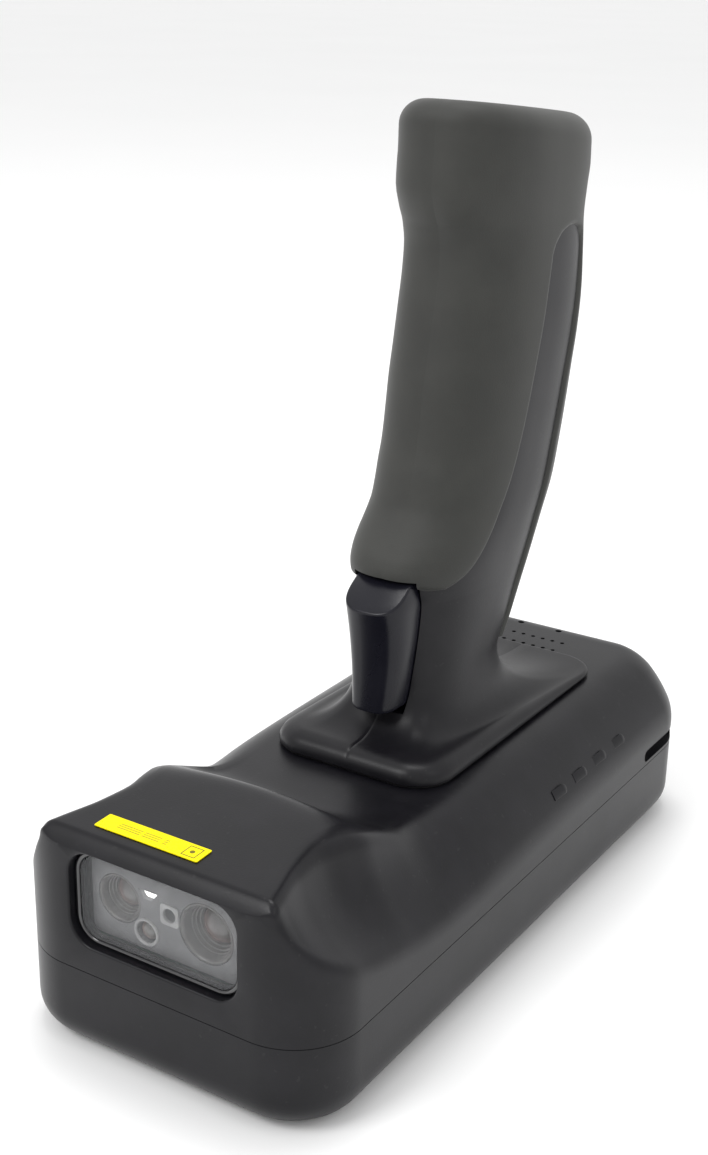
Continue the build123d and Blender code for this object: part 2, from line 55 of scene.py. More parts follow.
def through(points):  # a curve y(x) through given points, with no overshoot
    xs, ys = np.array(points, float).T
    steps = np.diff(ys) / np.diff(xs)
    slopes = np.concatenate([[steps[0]], (steps[:-1] + steps[1:]) / 2, [steps[-1]]])
    for i in range(1, len(xs) - 1):
        if steps[i - 1] * steps[i] <= 0:
            slopes[i] = 0
        else:
            slopes[i] = 2 * steps[i - 1] * steps[i] / (steps[i - 1] + steps[i])

    def at(x):
        x = np.clip(np.asarray(x, float), xs[0], xs[-1])
        i = np.clip(np.searchsorted(xs, x, side="right") - 1, 0, len(xs) - 2)
        h = xs[i + 1] - xs[i]
        t = (x - xs[i]) / h
        return ((1 + 2 * t) * (1 - t) ** 2 * ys[i] + t * (1 - t) ** 2 * h * slopes[i]
                + t * t * (3 - 2 * t) * ys[i + 1] + t * t * (t - 1) * h * slopes[i + 1])
    return at


def softMin(a, b, k):
    return -k * np.logaddexp(-a / k, -b / k)


def softMax(a, b, k):
    return k * np.logaddexp(a / k, b / k)


def roundedLoop(halfX, halfY, radius, perCorner=10, perSide=6):
    # rounded rectangle, anticlockwise from the middle of the +X side
    points = []
    corners = [(halfX - radius, halfY - radius, 0), (radius - halfX, halfY - radius, 90),
               (radius - halfX, radius - halfY, 180), (halfX - radius, radius - halfY, 270)]
    starts = [(halfX, radius - halfY), (halfX - radius, halfY), (-halfX, halfY - radius),
              (radius - halfX, -halfY)]
    for (cx, cy, turn), (sx, sy) in zip(corners, starts):
        ex = cx + radius * math.cos(math.radians(turn))
        ey = cy + radius * math.sin(math.radians(turn))
        for n in range(perSide):
            points.append((sx + (ex - sx) * n / perSide, sy + (ey - sy) * n / perSide))
        for n in range(perCorner):
            a = math.radians(turn + 90 * n / perCorner)
            points.append((cx + radius * math.cos(a), cy + radius * math.sin(a)))
    return np.array(points)


class Builder:  # collects loops of points, in millimetres, into one mesh
    def __init__(self):
        self.verts = []
        self.faces = []

    def loop(self, points):
        start = len(self.verts)
        self.verts.extend([tuple(p) for p in points])
        return list(range(start, len(self.verts)))

    def skin(self, loops, closed=True):
        for a, b in zip(loops[:-1], loops[1:]):
            count = len(a)
            for i in range(count if closed else count - 1):
                j = (i + 1) % count
                self.faces.append((a[i], a[j], b[j], b[i]))

    def cap(self, ids):
        self.faces.append(tuple(ids))

    def solid(self, loops):  # a stack of loops with both ends closed
        self.skin(loops)
        self.cap(loops[0])
        self.cap(loops[-1])

    def fill(self, loops):  # flat face between an outer loop and the holes in it
        bm = bmesh.new()
        edges = []
        made = {}
        for ids in loops:
            vs = [bm.verts.new(self.verts[i]) for i in ids]
            for v, i in zip(vs, ids):
                made[v] = i
            edges += [bm.edges.new((vs[i], vs[(i + 1) % len(vs)])) for i in range(len(vs))]
        bmesh.ops.triangle_fill(bm, use_beauty=True, use_dissolve=False, edges=edges)
        for f in bm.faces:
            self.faces.append(tuple(made[v] for v in f.verts))
        bm.free()

    def mesh(self, name, recalculate=True, angle=None):
        data = bpy.data.meshes.new(name)
        data.from_pydata([(x * mm, y * mm, z * mm) for x, y, z in self.verts], [], self.faces)
        thing = bpy.data.objects.new(name, data)
        bpy.context.scene.collection.objects.link(thing)
        tidyMesh(thing, recalculate)
        shade(thing, angle)
        return thing


def tidyMesh(thing, recalculate=True):
    bm = bmesh.new()
    bm.from_mesh(thing.data)
    bmesh.ops.remove_doubles(bm, verts=bm.verts, dist=2e-6)
    if recalculate:
        bmesh.ops.recalc_face_normals(bm, faces=bm.faces)
    bm.to_mesh(thing.data)
    bm.free()


def shade(thing, angle=None):
    for polygon in thing.data.polygons:
        polygon.use_smooth = True
    if angle:
        thing.data.set_sharp_from_angle(angle=math.radians(angle))


def cut(thing, tool, solver="EXACT"):
    step = thing.modifiers.new("cut", "BOOLEAN")
    step.operation = "DIFFERENCE"
    step.solver = solver
    step.object = tool
    applyAll(thing)
    bpy.data.objects.remove(tool)


def applyAll(thing):
    graph = bpy.context.evaluated_depsgraph_get()
    made = bpy.data.meshes.new_from_object(thing.evaluated_get(graph))
    thing.modifiers.clear()
    old = thing.data
    thing.data = made
    bpy.data.meshes.remove(old)


def finishPiece(thing, material, rides=body, replaces=()):
    thing.data.materials.clear()
    thing.data.materials.append(material)
    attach(thing, rides)
    if replaces:
        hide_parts(*replaces)
    return thing


class Wire:  # one socket of a material, so that shader maths reads as an expression
    def __init__(self, tree, socket):
        self.tree = tree
        self.socket = socket

    def maths(self, operation, *others, swap=False):
        values = [self, *others]
        if swap:
            values.reverse()
        return node(self.tree, "ShaderNodeMath", {"operation": operation},
                    {i: v for i, v in enumerate(values)})

    def size(self):
        return self.maths("ABSOLUTE")

    def spread(self, low, high, toLow=0.0, toHigh=1.0):
        return node(self.tree, "ShaderNodeMapRange", {"interpolation_type": "SMOOTHSTEP"},
                    {0: self, 1: low, 2: high, 3: toLow, 4: toHigh})


def operator(operation, swap=False):
    return lambda self, other: self.maths(operation, other, swap=swap)


for method, operation in (("__add__", "ADD"), ("__sub__", "SUBTRACT"), ("__mul__", "MULTIPLY"),
                          ("__truediv__", "DIVIDE"), ("__pow__", "POWER"), ("above", "GREATER_THAN"),
                          ("below", "LESS_THAN"), ("most", "MAXIMUM")):
    setattr(Wire, method, operator(operation))
for method, operation in (("__radd__", "ADD"), ("__rsub__", "SUBTRACT"), ("__rmul__", "MULTIPLY")):
    setattr(Wire, method, operator(operation, swap=True))


def node(tree, kind, settings, sockets, out=0):
    # adds one node: its type, its settings, then the values or links of its sockets
    made = tree.nodes.new(kind)
    for name, value in settings.items():
        if name == "stops":
            ramp = made.color_ramp
            while len(ramp.elements) < len(value):
                ramp.elements.new(0.5)
            for element, (place, colour) in zip(ramp.elements, value):
                element.position = place
                element.color = (*colour, 1)
        else:
            setattr(made, name, value)
    for name, value in sockets.items():
        if isinstance(value, Wire):
            tree.links.new(value.socket, made.inputs[name])
        else:
            made.inputs[name].default_value = value
    return Wire(tree, made.outputs[out])


def blendColour(tree, factor, first, second, how="MIX"):
    return node(tree, "ShaderNodeMix", {"data_type": "RGBA", "blend_type": how},
                {0: factor, 6: first if isinstance(first, Wire) else (*first, 1),
                 7: second if isinstance(second, Wire) else (*second, 1)}, out=2)


def noise(tree, scale, detail=3.0, rough=0.5, vector=None, stretch=None):
    where = vector or node(tree, "ShaderNodeTexCoord", {}, {}, out=3)
    if stretch:
        where = node(tree, "ShaderNodeMapping", {}, {0: where, 3: stretch})
    return node(tree, "ShaderNodeTexNoise", {}, {"Vector": where, "Scale": scale, "Detail": detail,
                                                  "Roughness": rough})


def newMaterial(name):
    made = bpy.data.materials.new(name)
    made.use_nodes = True
    tree = made.node_tree
    shader = tree.nodes["Principled BSDF"]
    return made, tree, shader


def plug(tree, shader, **values):  # sets or links the shader's sockets, named in camelCase
    names = {"colour": "Base Color", "roughness": "Roughness", "metallic": "Metallic", "normal": "Normal",
             "specular": "Specular IOR Level", "coat": "Coat Weight", "coatRoughness": "Coat Roughness",
             "transmission": "Transmission Weight", "ior": "IOR", "alpha": "Alpha", "sheen": "Sheen Weight",
             "sheenRoughness": "Sheen Roughness", "glow": "Emission Color", "glowStrength": "Emission Strength"}
    for name, value in values.items():
        socket = shader.inputs[names[name]]
        if isinstance(value, Wire):
            tree.links.new(value.socket, socket)
        elif isinstance(value, tuple) and len(value) == 3:
            socket.default_value = (*value, 1)
        else:
            socket.default_value = value


def bump(tree, height, strength, distance):
    return node(tree, "ShaderNodeBump", {}, {"Strength": strength, "Distance": distance, "Height": height})


def mouldedPlastic(name, look):
    # satin moulded plastic: fine spark-eroded grain, faint mottling and rubbed patches
    made, tree, shader = newMaterial(name)
    grain = noise(tree, look["grain"], 2.0, 0.6)
    mottle = noise(tree, 90.0, 4.0, 0.6)
    rubbed = noise(tree, 28.0, 3.0, 0.55)
    dust = noise(tree, 900.0, 1.0, 0.5).above(0.73) * 0.25
    tone = blendColour(tree, mottle.spread(0.35, 0.7), look["dark"], look["light"])
    tone = blendColour(tree, dust, tone, look["dust"])
    plug(tree, shader, colour=tone, specular=look["specular"],
         roughness=look["roughness"] + (rubbed - 0.5) * look["roughnessSpread"] + (grain - 0.5) * 0.08,
         normal=bump(tree, grain + mottle * 0.4, look["bump"], 0.00006))
    return made


housingLook = dict(grain=2600.0, dark=(0.0040, 0.0038, 0.0054), light=(0.0070, 0.0066, 0.0088),
                   dust=(0.03, 0.03, 0.03), specular=0.27, roughness=0.33, roughnessSpread=0.14, bump=0.22)
handleLook = dict(housingLook, roughness=0.38, dark=(0.0050, 0.0047, 0.0064), light=(0.0085, 0.0080, 0.0100))
triggerLook = dict(housingLook, grain=1800.0, dark=(0.0060, 0.0060, 0.0100), light=(0.0085, 0.0085, 0.0130),
                   roughness=0.25, roughnessSpread=0.08, bump=0.06, dust=(0.012, 0.012, 0.016))


def gripRubber(name):  # soft-touch rubber: matte, olive grey, with a powdery sheen
    made, tree, shader = newMaterial(name)
    grain = noise(tree, 3200.0, 2.0, 0.65)
    mottle = noise(tree, 60.0, 5.0, 0.6)
    worn = noise(tree, 22.0, 3.0, 0.5, stretch=(1, 1, 0.4))
    tone = blendColour(tree, mottle.spread(0.3, 0.72), (0.0235, 0.0240, 0.0215), (0.0320, 0.0325, 0.0290))
    tone = blendColour(tree, worn.spread(0.5, 0.75) * 0.35, tone, (0.040, 0.042, 0.034))
    plug(tree, shader, colour=tone, specular=0.36, sheen=0.12, sheenRoughness=0.5,
         roughness=0.60 + (mottle - 0.5) * 0.12,
         normal=bump(tree, grain + mottle * 0.5, 0.35, 0.00008))
    return made


def plainRubber(name, tone):
    made, tree, shader = newMaterial(name)
    grain = noise(tree, 2400.0, 2.0, 0.6)
    mottle = noise(tree, 160.0, 3.0, 0.6)
    lighter = tuple(min(1.0, c * 1.45 + 0.004) for c in tone)
    plug(tree, shader, colour=blendColour(tree, mottle.spread(0.35, 0.7), tone, lighter), specular=0.3,
         roughness=0.66 + (mottle - 0.5) * 0.15, normal=bump(tree, grain, 0.3, 0.00006))
    return made


def platedSteel(name):
    made, tree, shader = newMaterial(name)
    brushed = noise(tree, 700.0, 3.0, 0.6, stretch=(1, 1, 6))
    spots = noise(tree, 240.0, 4.0, 0.6)
    plug(tree, shader, metallic=1.0, specular=0.5,
         colour=blendColour(tree, spots.spread(0.35, 0.7), (0.46, 0.46, 0.45), (0.62, 0.62, 0.60)),
         roughness=0.28 + brushed * 0.16, normal=bump(tree, brushed, 0.15, 0.00005))
    return made


def circuitBoard(name):
    made, tree, shader = newMaterial(name)
    weave = noise(tree, 1500.0, 2.0, 0.5)
    tracks = noise(tree, 260.0, 0.0, 0.5, stretch=(1, 5, 1)).above(0.56)
    plug(tree, shader, colour=blendColour(tree, tracks, (0.006, 0.075, 0.028), (0.012, 0.13, 0.045)),
         roughness=0.36 + weave * 0.1, specular=0.5,
         normal=bump(tree, tracks * 0.5 + weave * 0.3, 0.2, 0.00005))
    return made


def batteryWrap(name):
    made, tree, shader = newMaterial(name)
    wrinkle = noise(tree, 190.0, 3.0, 0.5, stretch=(1, 0.3, 1))
    tone = blendColour(tree, wrinkle.spread(0.4, 0.7), (0.02, 0.03, 0.05), (0.035, 0.05, 0.08))
    plug(tree, shader, colour=tone,
         roughness=0.3 + wrinkle * 0.2, specular=0.5, normal=bump(tree, wrinkle, 0.3, 0.0002))
    return made


def polyimide(name):
    made, tree, shader = newMaterial(name)
    tracks = noise(tree, 700.0, 0.0, 0.5, stretch=(1, 0.05, 0.05)).above(0.5)
    plug(tree, shader, colour=blendColour(tree, tracks, (0.42, 0.19, 0.03), (0.55, 0.30, 0.06)),
         roughness=0.35 + tracks * 0.05, specular=0.5)
    return made


def windowGlass(name):  # hard-coated clear plate with a faint haze and dust
    made, tree, shader = newMaterial(name)
    haze = noise(tree, 45.0, 4.0, 0.6)
    dust = noise(tree, 1300.0, 1.0, 0.5).above(0.74)
    plug(tree, shader, colour=(0.42, 0.43, 0.44), specular=0.5, ior=1.49,
         roughness=0.05 + haze.spread(0.45, 0.75) * 0.08 + dust * 0.2,
         alpha=0.10 + haze.spread(0.35, 0.8) * 0.05 + dust * 0.06)
    return made


def lensGlass(name, tint):
    made, tree, shader = newMaterial(name)
    coating = noise(tree, 240.0, 2.0, 0.5)
    # painted reflection: the base colour turns pinkish towards glancing view, standing in for the coated lens's
    # fresnel reflection
    grazingReflection = node(tree, "ShaderNodeLayerWeight", {}, {0: 0.35}, out=1)
    tone = blendColour(tree, grazingReflection.spread(0.1, 0.9), tint, (0.26, 0.15, 0.13))
    plug(tree, shader, colour=blendColour(tree, coating.spread(0.4, 0.7) * 0.25, tone, (0.20, 0.22, 0.20)),
         roughness=0.07 + coating * 0.05, specular=0.8, coat=0.6, coatRoughness=0.05)
    return made


def engineGrey(name, look):
    made, tree, shader = newMaterial(name)
    grain = noise(tree, 1900.0, 2.0, 0.6)
    mottle = noise(tree, 300.0, 3.0, 0.6)
    plug(tree, shader, colour=blendColour(tree, mottle.spread(0.35, 0.7), look["dark"], look["light"]),
         roughness=look["roughness"] + (grain - 0.5) * 0.1, specular=0.5,
         normal=bump(tree, grain, 0.2, 0.00005))
    return made


def lampWhite(name):
    made, tree, shader = newMaterial(name)
    cells = noise(tree, 900.0, 2.0, 0.5)
    plug(tree, shader, colour=blendColour(tree, cells.spread(0.4, 0.6), (0.9, 0.9, 0.86), (1.0, 1.0, 0.97)),
         roughness=0.2 + cells * 0.1, specular=0.6, glow=(1.0, 1.0, 0.97), glowStrength=2.2)
    return made


def labelFilm(name, spec):  # yellow film with a thin dark border line and one round dot: no lettering
    made, tree, shader = newMaterial(name)
    where = node(tree, "ShaderNodeTexCoord", {}, {}, out=3)
    parts = tree.nodes.new("ShaderNodeSeparateXYZ")
    tree.links.new(where.socket, parts.inputs[0])
    x = Wire(tree, parts.outputs[0]) - spec["x"] * mm
    y = Wire(tree, parts.outputs[1]) - spec["y"] * mm
    halfX = spec["width"] / 2 * mm
    halfY = spec["depth"] / 2 * mm
    signX = x - spec["signX"] * mm
    dot = (signX * signX + y * y).below((0.00050) ** 2)
    frameEdge = signX.size().most(y.size() * 0.95)
    box = frameEdge.above(0.00130) * frameEdge.below(0.00150)
    rules = ((y.size() - 0.00060).size().below(0.00011)).most(y.size().below(0.00010))
    dash = noise(tree, 1100.0, 0.0, 0.5, stretch=(1, 0.01, 0.01)).above(0.47)
    rules = rules * dash * x.below(0.0035) * x.above(-0.0075)
    ink = box.most(dot).most(rules * 0.75)
    fibre = noise(tree, 1500.0, 2.0, 0.6)
    tone = blendColour(tree, fibre.spread(0.3, 0.7), (0.84, 0.70, 0.0), (0.92, 0.78, 0.0))
    plug(tree, shader, colour=blendColour(tree, ink * 0.85, tone, (0.05, 0.045, 0.02)), specular=0.12,
         roughness=0.34 + fibre * 0.12, normal=bump(tree, fibre, 0.1, 0.00003))
    return made


def darkScreen(name):  # black printed glass over an unlit display
    made, tree, shader = newMaterial(name)
    smears = noise(tree, 35.0, 4.0, 0.6)
    parts = tree.nodes.new("ShaderNodeSeparateXYZ")
    tree.links.new(node(tree, "ShaderNodeTexCoord", {}, {}, out=3).socket, parts.inputs[0])
    low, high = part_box("display_panel")
    x = Wire(tree, parts.outputs[0])
    y = Wire(tree, parts.outputs[1])
    inside = x.size().below(high.x - 0.001) * y.above(low.y + 0.001) * y.below(high.y - 0.001)
    plug(tree, shader, colour=blendColour(tree, inside, (0.004, 0.004, 0.005), (0.010, 0.013, 0.018)),
         roughness=0.06 + smears.spread(0.45, 0.8) * 0.12, specular=0.6)
    return made


housing = dict(halfWidth=35.0, halfLength=80.0, corner=14.0, bottom=18.16, back=37.4, wall=2.4,
               creaseRound=2.4, cornerSteps=26)
creaseHeight = through([(-80, 43.2), (-79.4, 41.6), (-78.3, 39.4), (-76.8, 36.9), (-74.3, 34.5), (-70.9, 32.4),
                        (-64.7, 29.8), (-57.8, 27.9), (-52, 26.5), (-45, 25.2), (-37, 24.3), (-26, 23.9),
                        (0, 24.6), (56, 25.4), (80, 25.6)])
crestPlace = through([(-80, 26.2), (-78.8, 25.7), (-74.7, 24.5), (-66.8, 22.5), (-60, 22.0), (-54, 23.2),
                      (-48, 24.6), (-40, 24.4), (-31, 23.7), (-18, 24.6), (10, 25), (80, 25)])
scoopSag = through([(-80, 0.2), (-76, 0.9), (-68, 2.3), (-58, 2.9), (-48, 2.2), (-38, 0.9), (-28, -0.2),
                    (-10, -0.9), (80, -1.1)])


def housingTop(x, y):  # height of the back, by place: head, slope behind it, flat back, rounded tail
    out = np.clip(np.abs(x) / 25, 0, 1) ** 2
    ridge = -46.8 - 4.0 * out
    head = 45.5 + (y + 77.5) * 0.0325
    slope = 46.4 - (y - ridge) * (0.93 - 0.44 * out)
    z = softMin(head, softMax(slope, housing["back"] + 0 * y, 1.3 + 0.5 * out), 0.9 + 0.6 * out)
    front = np.clip((-77.4 - y) / 2.6, 0, 1)
    z = z - 2.5 * front ** 1.4
    tail = np.clip((y - 72.5) / 7.5, 0, 1)
    return z - 6.5 * (1 - np.sqrt(np.clip(1 - tail ** 2.3, 0, 1)))


def halfWidthAt(y, inset):
    reach = housing["corner"] - inset
    over = np.abs(y) - (housing["halfLength"] - housing["corner"])
    if over <= 0:
        return housing["halfWidth"] - inset
    return housing["halfWidth"] - housing["corner"] + math.sqrt(max(reach * reach - over * over, 0))


def quadratic(a, b, c, count, ends=(True, True)):
    ts = np.linspace(0, 1, count)
    if not ends[0]:
        ts = ts[1:]
    if not ends[1]:
        ts = ts[:-1]
    return [(1 - t) ** 2 * a + 2 * t * (1 - t) * b + t * t * c for t in ts]


def housingSection(y, inset):  # half of a cross-section, from the side's lower edge to the centreline
    edge = halfWidthAt(y, inset)
    fullEdge = halfWidthAt(y, 0)
    tailing = fullEdge - housing["halfWidth"] if y > 0 else 0
    crest = min(float(crestPlace(y)) + tailing, fullEdge - 0.5) - inset * 0.75
    crest = min(crest, edge - 0.3)
    topZ = float(housingTop(crest, y)) - inset
    crease = min(float(creaseHeight(y)), topZ + inset - 0.5) - inset * 0.8
    crease = min(crease, topZ - 0.25)
    low = np.array([edge, crease])
    high = np.array([crest, topZ])
    run = high - low
    normal = np.array([-run[1], run[0]]) / max(np.linalg.norm(run), 1e-6)
    mid = (low + high) / 2 + normal * float(scoopSag(y)) * 2 * min(1, np.linalg.norm(run) / 12)
    span = np.linalg.norm(run)
    trimA = min(housing["creaseRound"], span * 0.3, (crease - housing["bottom"]) * 0.5)
    wanted = 2.0 + 1.6 * float(smooth(-72, -52, y)) + 1.0 * float(smooth(-40, -20, y))
    trimB = min(wanted, span * 0.36)
    tA, tB = trimA / span, 1 - trimB / span

    def scoop(t):
        return (1 - t) ** 2 * low + 2 * t * (1 - t) * mid + t * t * high
    start = np.array([edge, crease - trimA])
    points = [np.array([edge, housing["bottom"] + (start[1] - housing["bottom"]) * n / 6]) for n in range(6)]
    points += quadratic(start, low, scoop(tA), 7)
    points += [scoop(tA + (tB - tA) * n / 16) for n in range(1, 16)]
    points += quadratic(scoop(tB), high, high - np.array([trimB, 0]), 8)
    inner = crest - trimB
    points += [np.array([inner * (1 - n / 14), 0]) for n in range(1, 15)]
    placed = []
    for n, p in enumerate(points):
        x, z = p
        if n >= len(points) - 15:
            z = float(housingTop(x, y)) - inset
        placed.append((x, y, z))
    return placed


def housingStations(inset):
    reach = housing["corner"] - inset
    straight = housing["halfLength"] - housing["corner"]
    turns = np.linspace(90, 0, housing["cornerSteps"] + 1)
    front = [-straight - reach * math.sin(math.radians(a)) for a in turns]
    rear = [straight + reach * math.sin(math.radians(a)) for a in turns[::-1]]
    middle = list(np.arange(-straight + 1.2, -28, 1.2)) + list(np.arange(-28, straight - 1, 3.0))
    return front + middle + rear


def housingSkin(b, inset):
    loops = []
    for y in housingStations(inset):
        right = housingSection(y, inset)
        left = [(-x, yy, z) for x, yy, z in right[-2::-1]]
        loops.append(b.loop(right + left))
    b.skin(loops, closed=False)
    return loops


windowPlace = dict(z=33.1, halfX=18.6, halfZ=9.5, radius=5.0, lip=0.45, back=-77.6)


def windowLoop(b, y, grow):
    flat = roundedLoop(windowPlace["halfX"] + grow, windowPlace["halfZ"] + grow, windowPlace["radius"] + grow)
    return b.loop([(x, y, windowPlace["z"] + z) for x, z in flat])


def makeBackHousing(material):
    b = Builder()
    outer = housingSkin(b, 0)
    inner = housingSkin(b, housing["wall"])
    lip = windowPlace["lip"]
    tunnel = [windowLoop(b, -80 + lip * (1 - math.sin(math.radians(a))), lip * (1 - math.cos(math.radians(a))))
              for a in (90, 60, 30, 0)]
    tunnel.append(windowLoop(b, windowPlace["back"], 0))
    b.skin(tunnel)
    b.fill([outer[0], tunnel[0]])
    b.fill([inner[0], tunnel[-1]])
    b.cap(outer[-1])
    b.cap(inner[-1])
    outerRim = [loop[0] for loop in outer] + [loop[-1] for loop in outer[::-1]]  # meets the seal
    innerRim = [loop[0] for loop in inner] + [loop[-1] for loop in inner[::-1]]
    b.skin([outerRim, innerRim])
    shell = b.mesh("backHousing")
    cut(shell, slotTools())
    cut(shell, holeTools())
    shade(shell, 38)
    return finishPiece(shell, material, replaces=["back_housing"])


holes = dict(rows=(61.85, 66.95), pitch=2.6, across=6, radius=0.52, openings=((2.3, 73.5), (-7.9, 73.5)),
             openingRadius=0.8, low=33.5, high=39.0)


def perforationTree():  # Geometry Nodes: a grid of drill bodies, with named inputs for its sizes
    tree = bpy.data.node_groups.new("perforations", "GeometryNodeTree")
    tree.is_modifier = True
    face = tree.interface
    face.new_socket("Geometry", in_out="OUTPUT", socket_type="NodeSocketGeometry")
    names = {}
    for label, kind in (("Across", "NodeSocketInt"), ("Rows", "NodeSocketInt"), ("Pitch", "NodeSocketFloat"),
                        ("Row Gap", "NodeSocketFloat"), ("Radius", "NodeSocketFloat"),
                        ("Depth", "NodeSocketFloat"), ("Centre", "NodeSocketVector"),
                        ("Material", "NodeSocketMaterial")):
        names[label] = face.new_socket(label, in_out="INPUT", socket_type=kind).identifier
    given = tree.nodes.new("NodeGroupInput")
    grid = tree.nodes.new("GeometryNodeMeshGrid")
    drill = tree.nodes.new("GeometryNodeMeshCylinder")
    drill.inputs["Vertices"].default_value = 20
    spread = tree.nodes.new("GeometryNodeInstanceOnPoints")
    shift = tree.nodes.new("GeometryNodeTransform")
    real = tree.nodes.new("GeometryNodeRealizeInstances")
    finish = tree.nodes.new("GeometryNodeSetMaterial")
    out = tree.nodes.new("NodeGroupOutput")
    link = tree.links.new

    def spanOf(count, pitch):
        less = tree.nodes.new("ShaderNodeMath")
        less.operation = "SUBTRACT"
        link(given.outputs[count], less.inputs[0])
        less.inputs[1].default_value = 1
        times = tree.nodes.new("ShaderNodeMath")
        times.operation = "MULTIPLY"
        link(less.outputs[0], times.inputs[0])
        link(given.outputs[pitch], times.inputs[1])
        return times.outputs[0]
    link(spanOf("Across", "Pitch"), grid.inputs["Size X"])
    link(spanOf("Rows", "Row Gap"), grid.inputs["Size Y"])
    for source, output, target, socket in (
            (given, "Across", grid, "Vertices X"), (given, "Rows", grid, "Vertices Y"),
            (given, "Radius", drill, "Radius"), (given, "Depth", drill, "Depth"),
            (grid, "Mesh", spread, "Points"), (drill, "Mesh", spread, "Instance"),
            (spread, "Instances", real, "Geometry"), (real, "Geometry", shift, "Geometry"),
            (given, "Centre", shift, "Translation"), (shift, "Geometry", finish, "Geometry"),
            (given, "Material", finish, "Material"), (finish, "Geometry", out, "Geometry")):
        link(source.outputs[output], target.inputs[socket])
    return tree, names


def fromTree(name, tree, names, values, base=None):
    # runs a Geometry Nodes tree once and keeps its result as a plain mesh
    start = base or bpy.data.meshes.new(name)
    thing = bpy.data.objects.new(name, start)
    bpy.context.scene.collection.objects.link(thing)
    step = thing.modifiers.new("nodes", "NODES")
    step.node_group = tree
    for label, value in values.items():
        step[names[label]] = value
    applyAll(thing)
    return thing


def holeTools():
    tree, names = perforationTree()
    deep = (holes["high"] - holes["low"]) * mm
    middle = (holes["high"] + holes["low"]) / 2 * mm
    gap = holes["rows"][1] - holes["rows"][0]
    centre = Vector((0, sum(holes["rows"]) / 2 * mm, middle))
    tools = [fromTree("drills", tree, names, {"Across": holes["across"], "Rows": 2,
                                             "Pitch": holes["pitch"] * mm, "Row Gap": gap * mm,
                                             "Radius": holes["radius"] * mm,
                                             "Depth": deep, "Centre": centre})]
    for x, y in holes["openings"]:
        tools.append(fromTree("drill", tree, names, {"Across": 1, "Rows": 1, "Pitch": 0.0, "Row Gap": 0.0,
                                                     "Radius": holes["openingRadius"] * mm, "Depth": deep,
                                                     "Centre": Vector((x * mm, y * mm, middle))}))
    return joined(tools)


def joined(things):
    bm = bmesh.new()
    for thing in things:
        bm.from_mesh(thing.data)
    bm.to_mesh(things[0].data)
    bm.free()
    for thing in things[1:]:
        bpy.data.objects.remove(thing)
    return things[0]


strapSlot = dict(y=63.4, halfLong=9.5, z=20.4, halfTall=1.45, radius=1.3, depth=3.2)


def slotTools():
    b = Builder()
    for side in (-1, 1):
        flat = roundedLoop(strapSlot["halfLong"], strapSlot["halfTall"], strapSlot["radius"], 6, 2)
        loops = [b.loop([(side * x, strapSlot["y"] + u, strapSlot["z"] + v) for u, v in flat])
                 for x in (35.6, 35 - strapSlot["depth"] + 1.2)]
        b.solid(loops)
    return b.mesh("slotTool")


lower = dict(top=18.0, round=7.0, floor=2.6, innerRound=4.6, glassY=-16.0, glass=(27.1, 52.1, 3.1),
             screen=(26.0, 49.0, 2.0), glassDepth=1.7, keyY=52.0, keyLip=0.3,
             keys=((0.0, 9.25, 4.75, 4.7), (-18.5, 5.75, 4.25, 3.2), (18.5, 5.75, 4.25, 3.2)),
             screwX=22.0, screwY=70.5, screwRadius=2.6, screwDepth=4.9, screwSeat=3.95,
             socket=dict(z=11.2, halfX=4.8, halfZ=1.9, radius=1.8))


def planLoop(b, z, inset, perCorner=20):
    return b.loop([(x, y, z) for x, y in
                   roundedLoop(housing["halfWidth"] - inset, housing["halfLength"] - inset,
                               max(housing["corner"] - inset, 0.5), perCorner, 14)])


def lowerProfile(b, inset, floor, radius):  # plan loops down the side and round the bottom edge
    levels = [(lower["top"], inset), (lower["top"] * 0.7, inset), (floor + radius + 1.5, inset)]
    for a in np.linspace(0, 90, 11):
        levels.append((floor + radius * (1 - math.sin(math.radians(a))),
                       inset + radius * (1 - math.cos(math.radians(a)))))
    return [planLoop(b, z, i) for z, i in levels]


def sunkLoops(b, x, y, halfX, halfY, radius, lip, low, high, perCorner=8):
    # an opening in the face with a softened edge: its loops from the face inwards
    loops = []
    for a in (90, 45, 0):
        grow = lip * (1 - math.cos(math.radians(a)))
        z = low + lip * (1 - math.sin(math.radians(a)))
        loops.append(b.loop([(x + u, y + v, z) for u, v in
                             roundedLoop(halfX + grow, halfY + grow, radius + grow, perCorner, 4)]))
    loops.append(b.loop([(x + u, y + v, high) for u, v in roundedLoop(halfX, halfY, radius, perCorner, 4)]))
    return loops


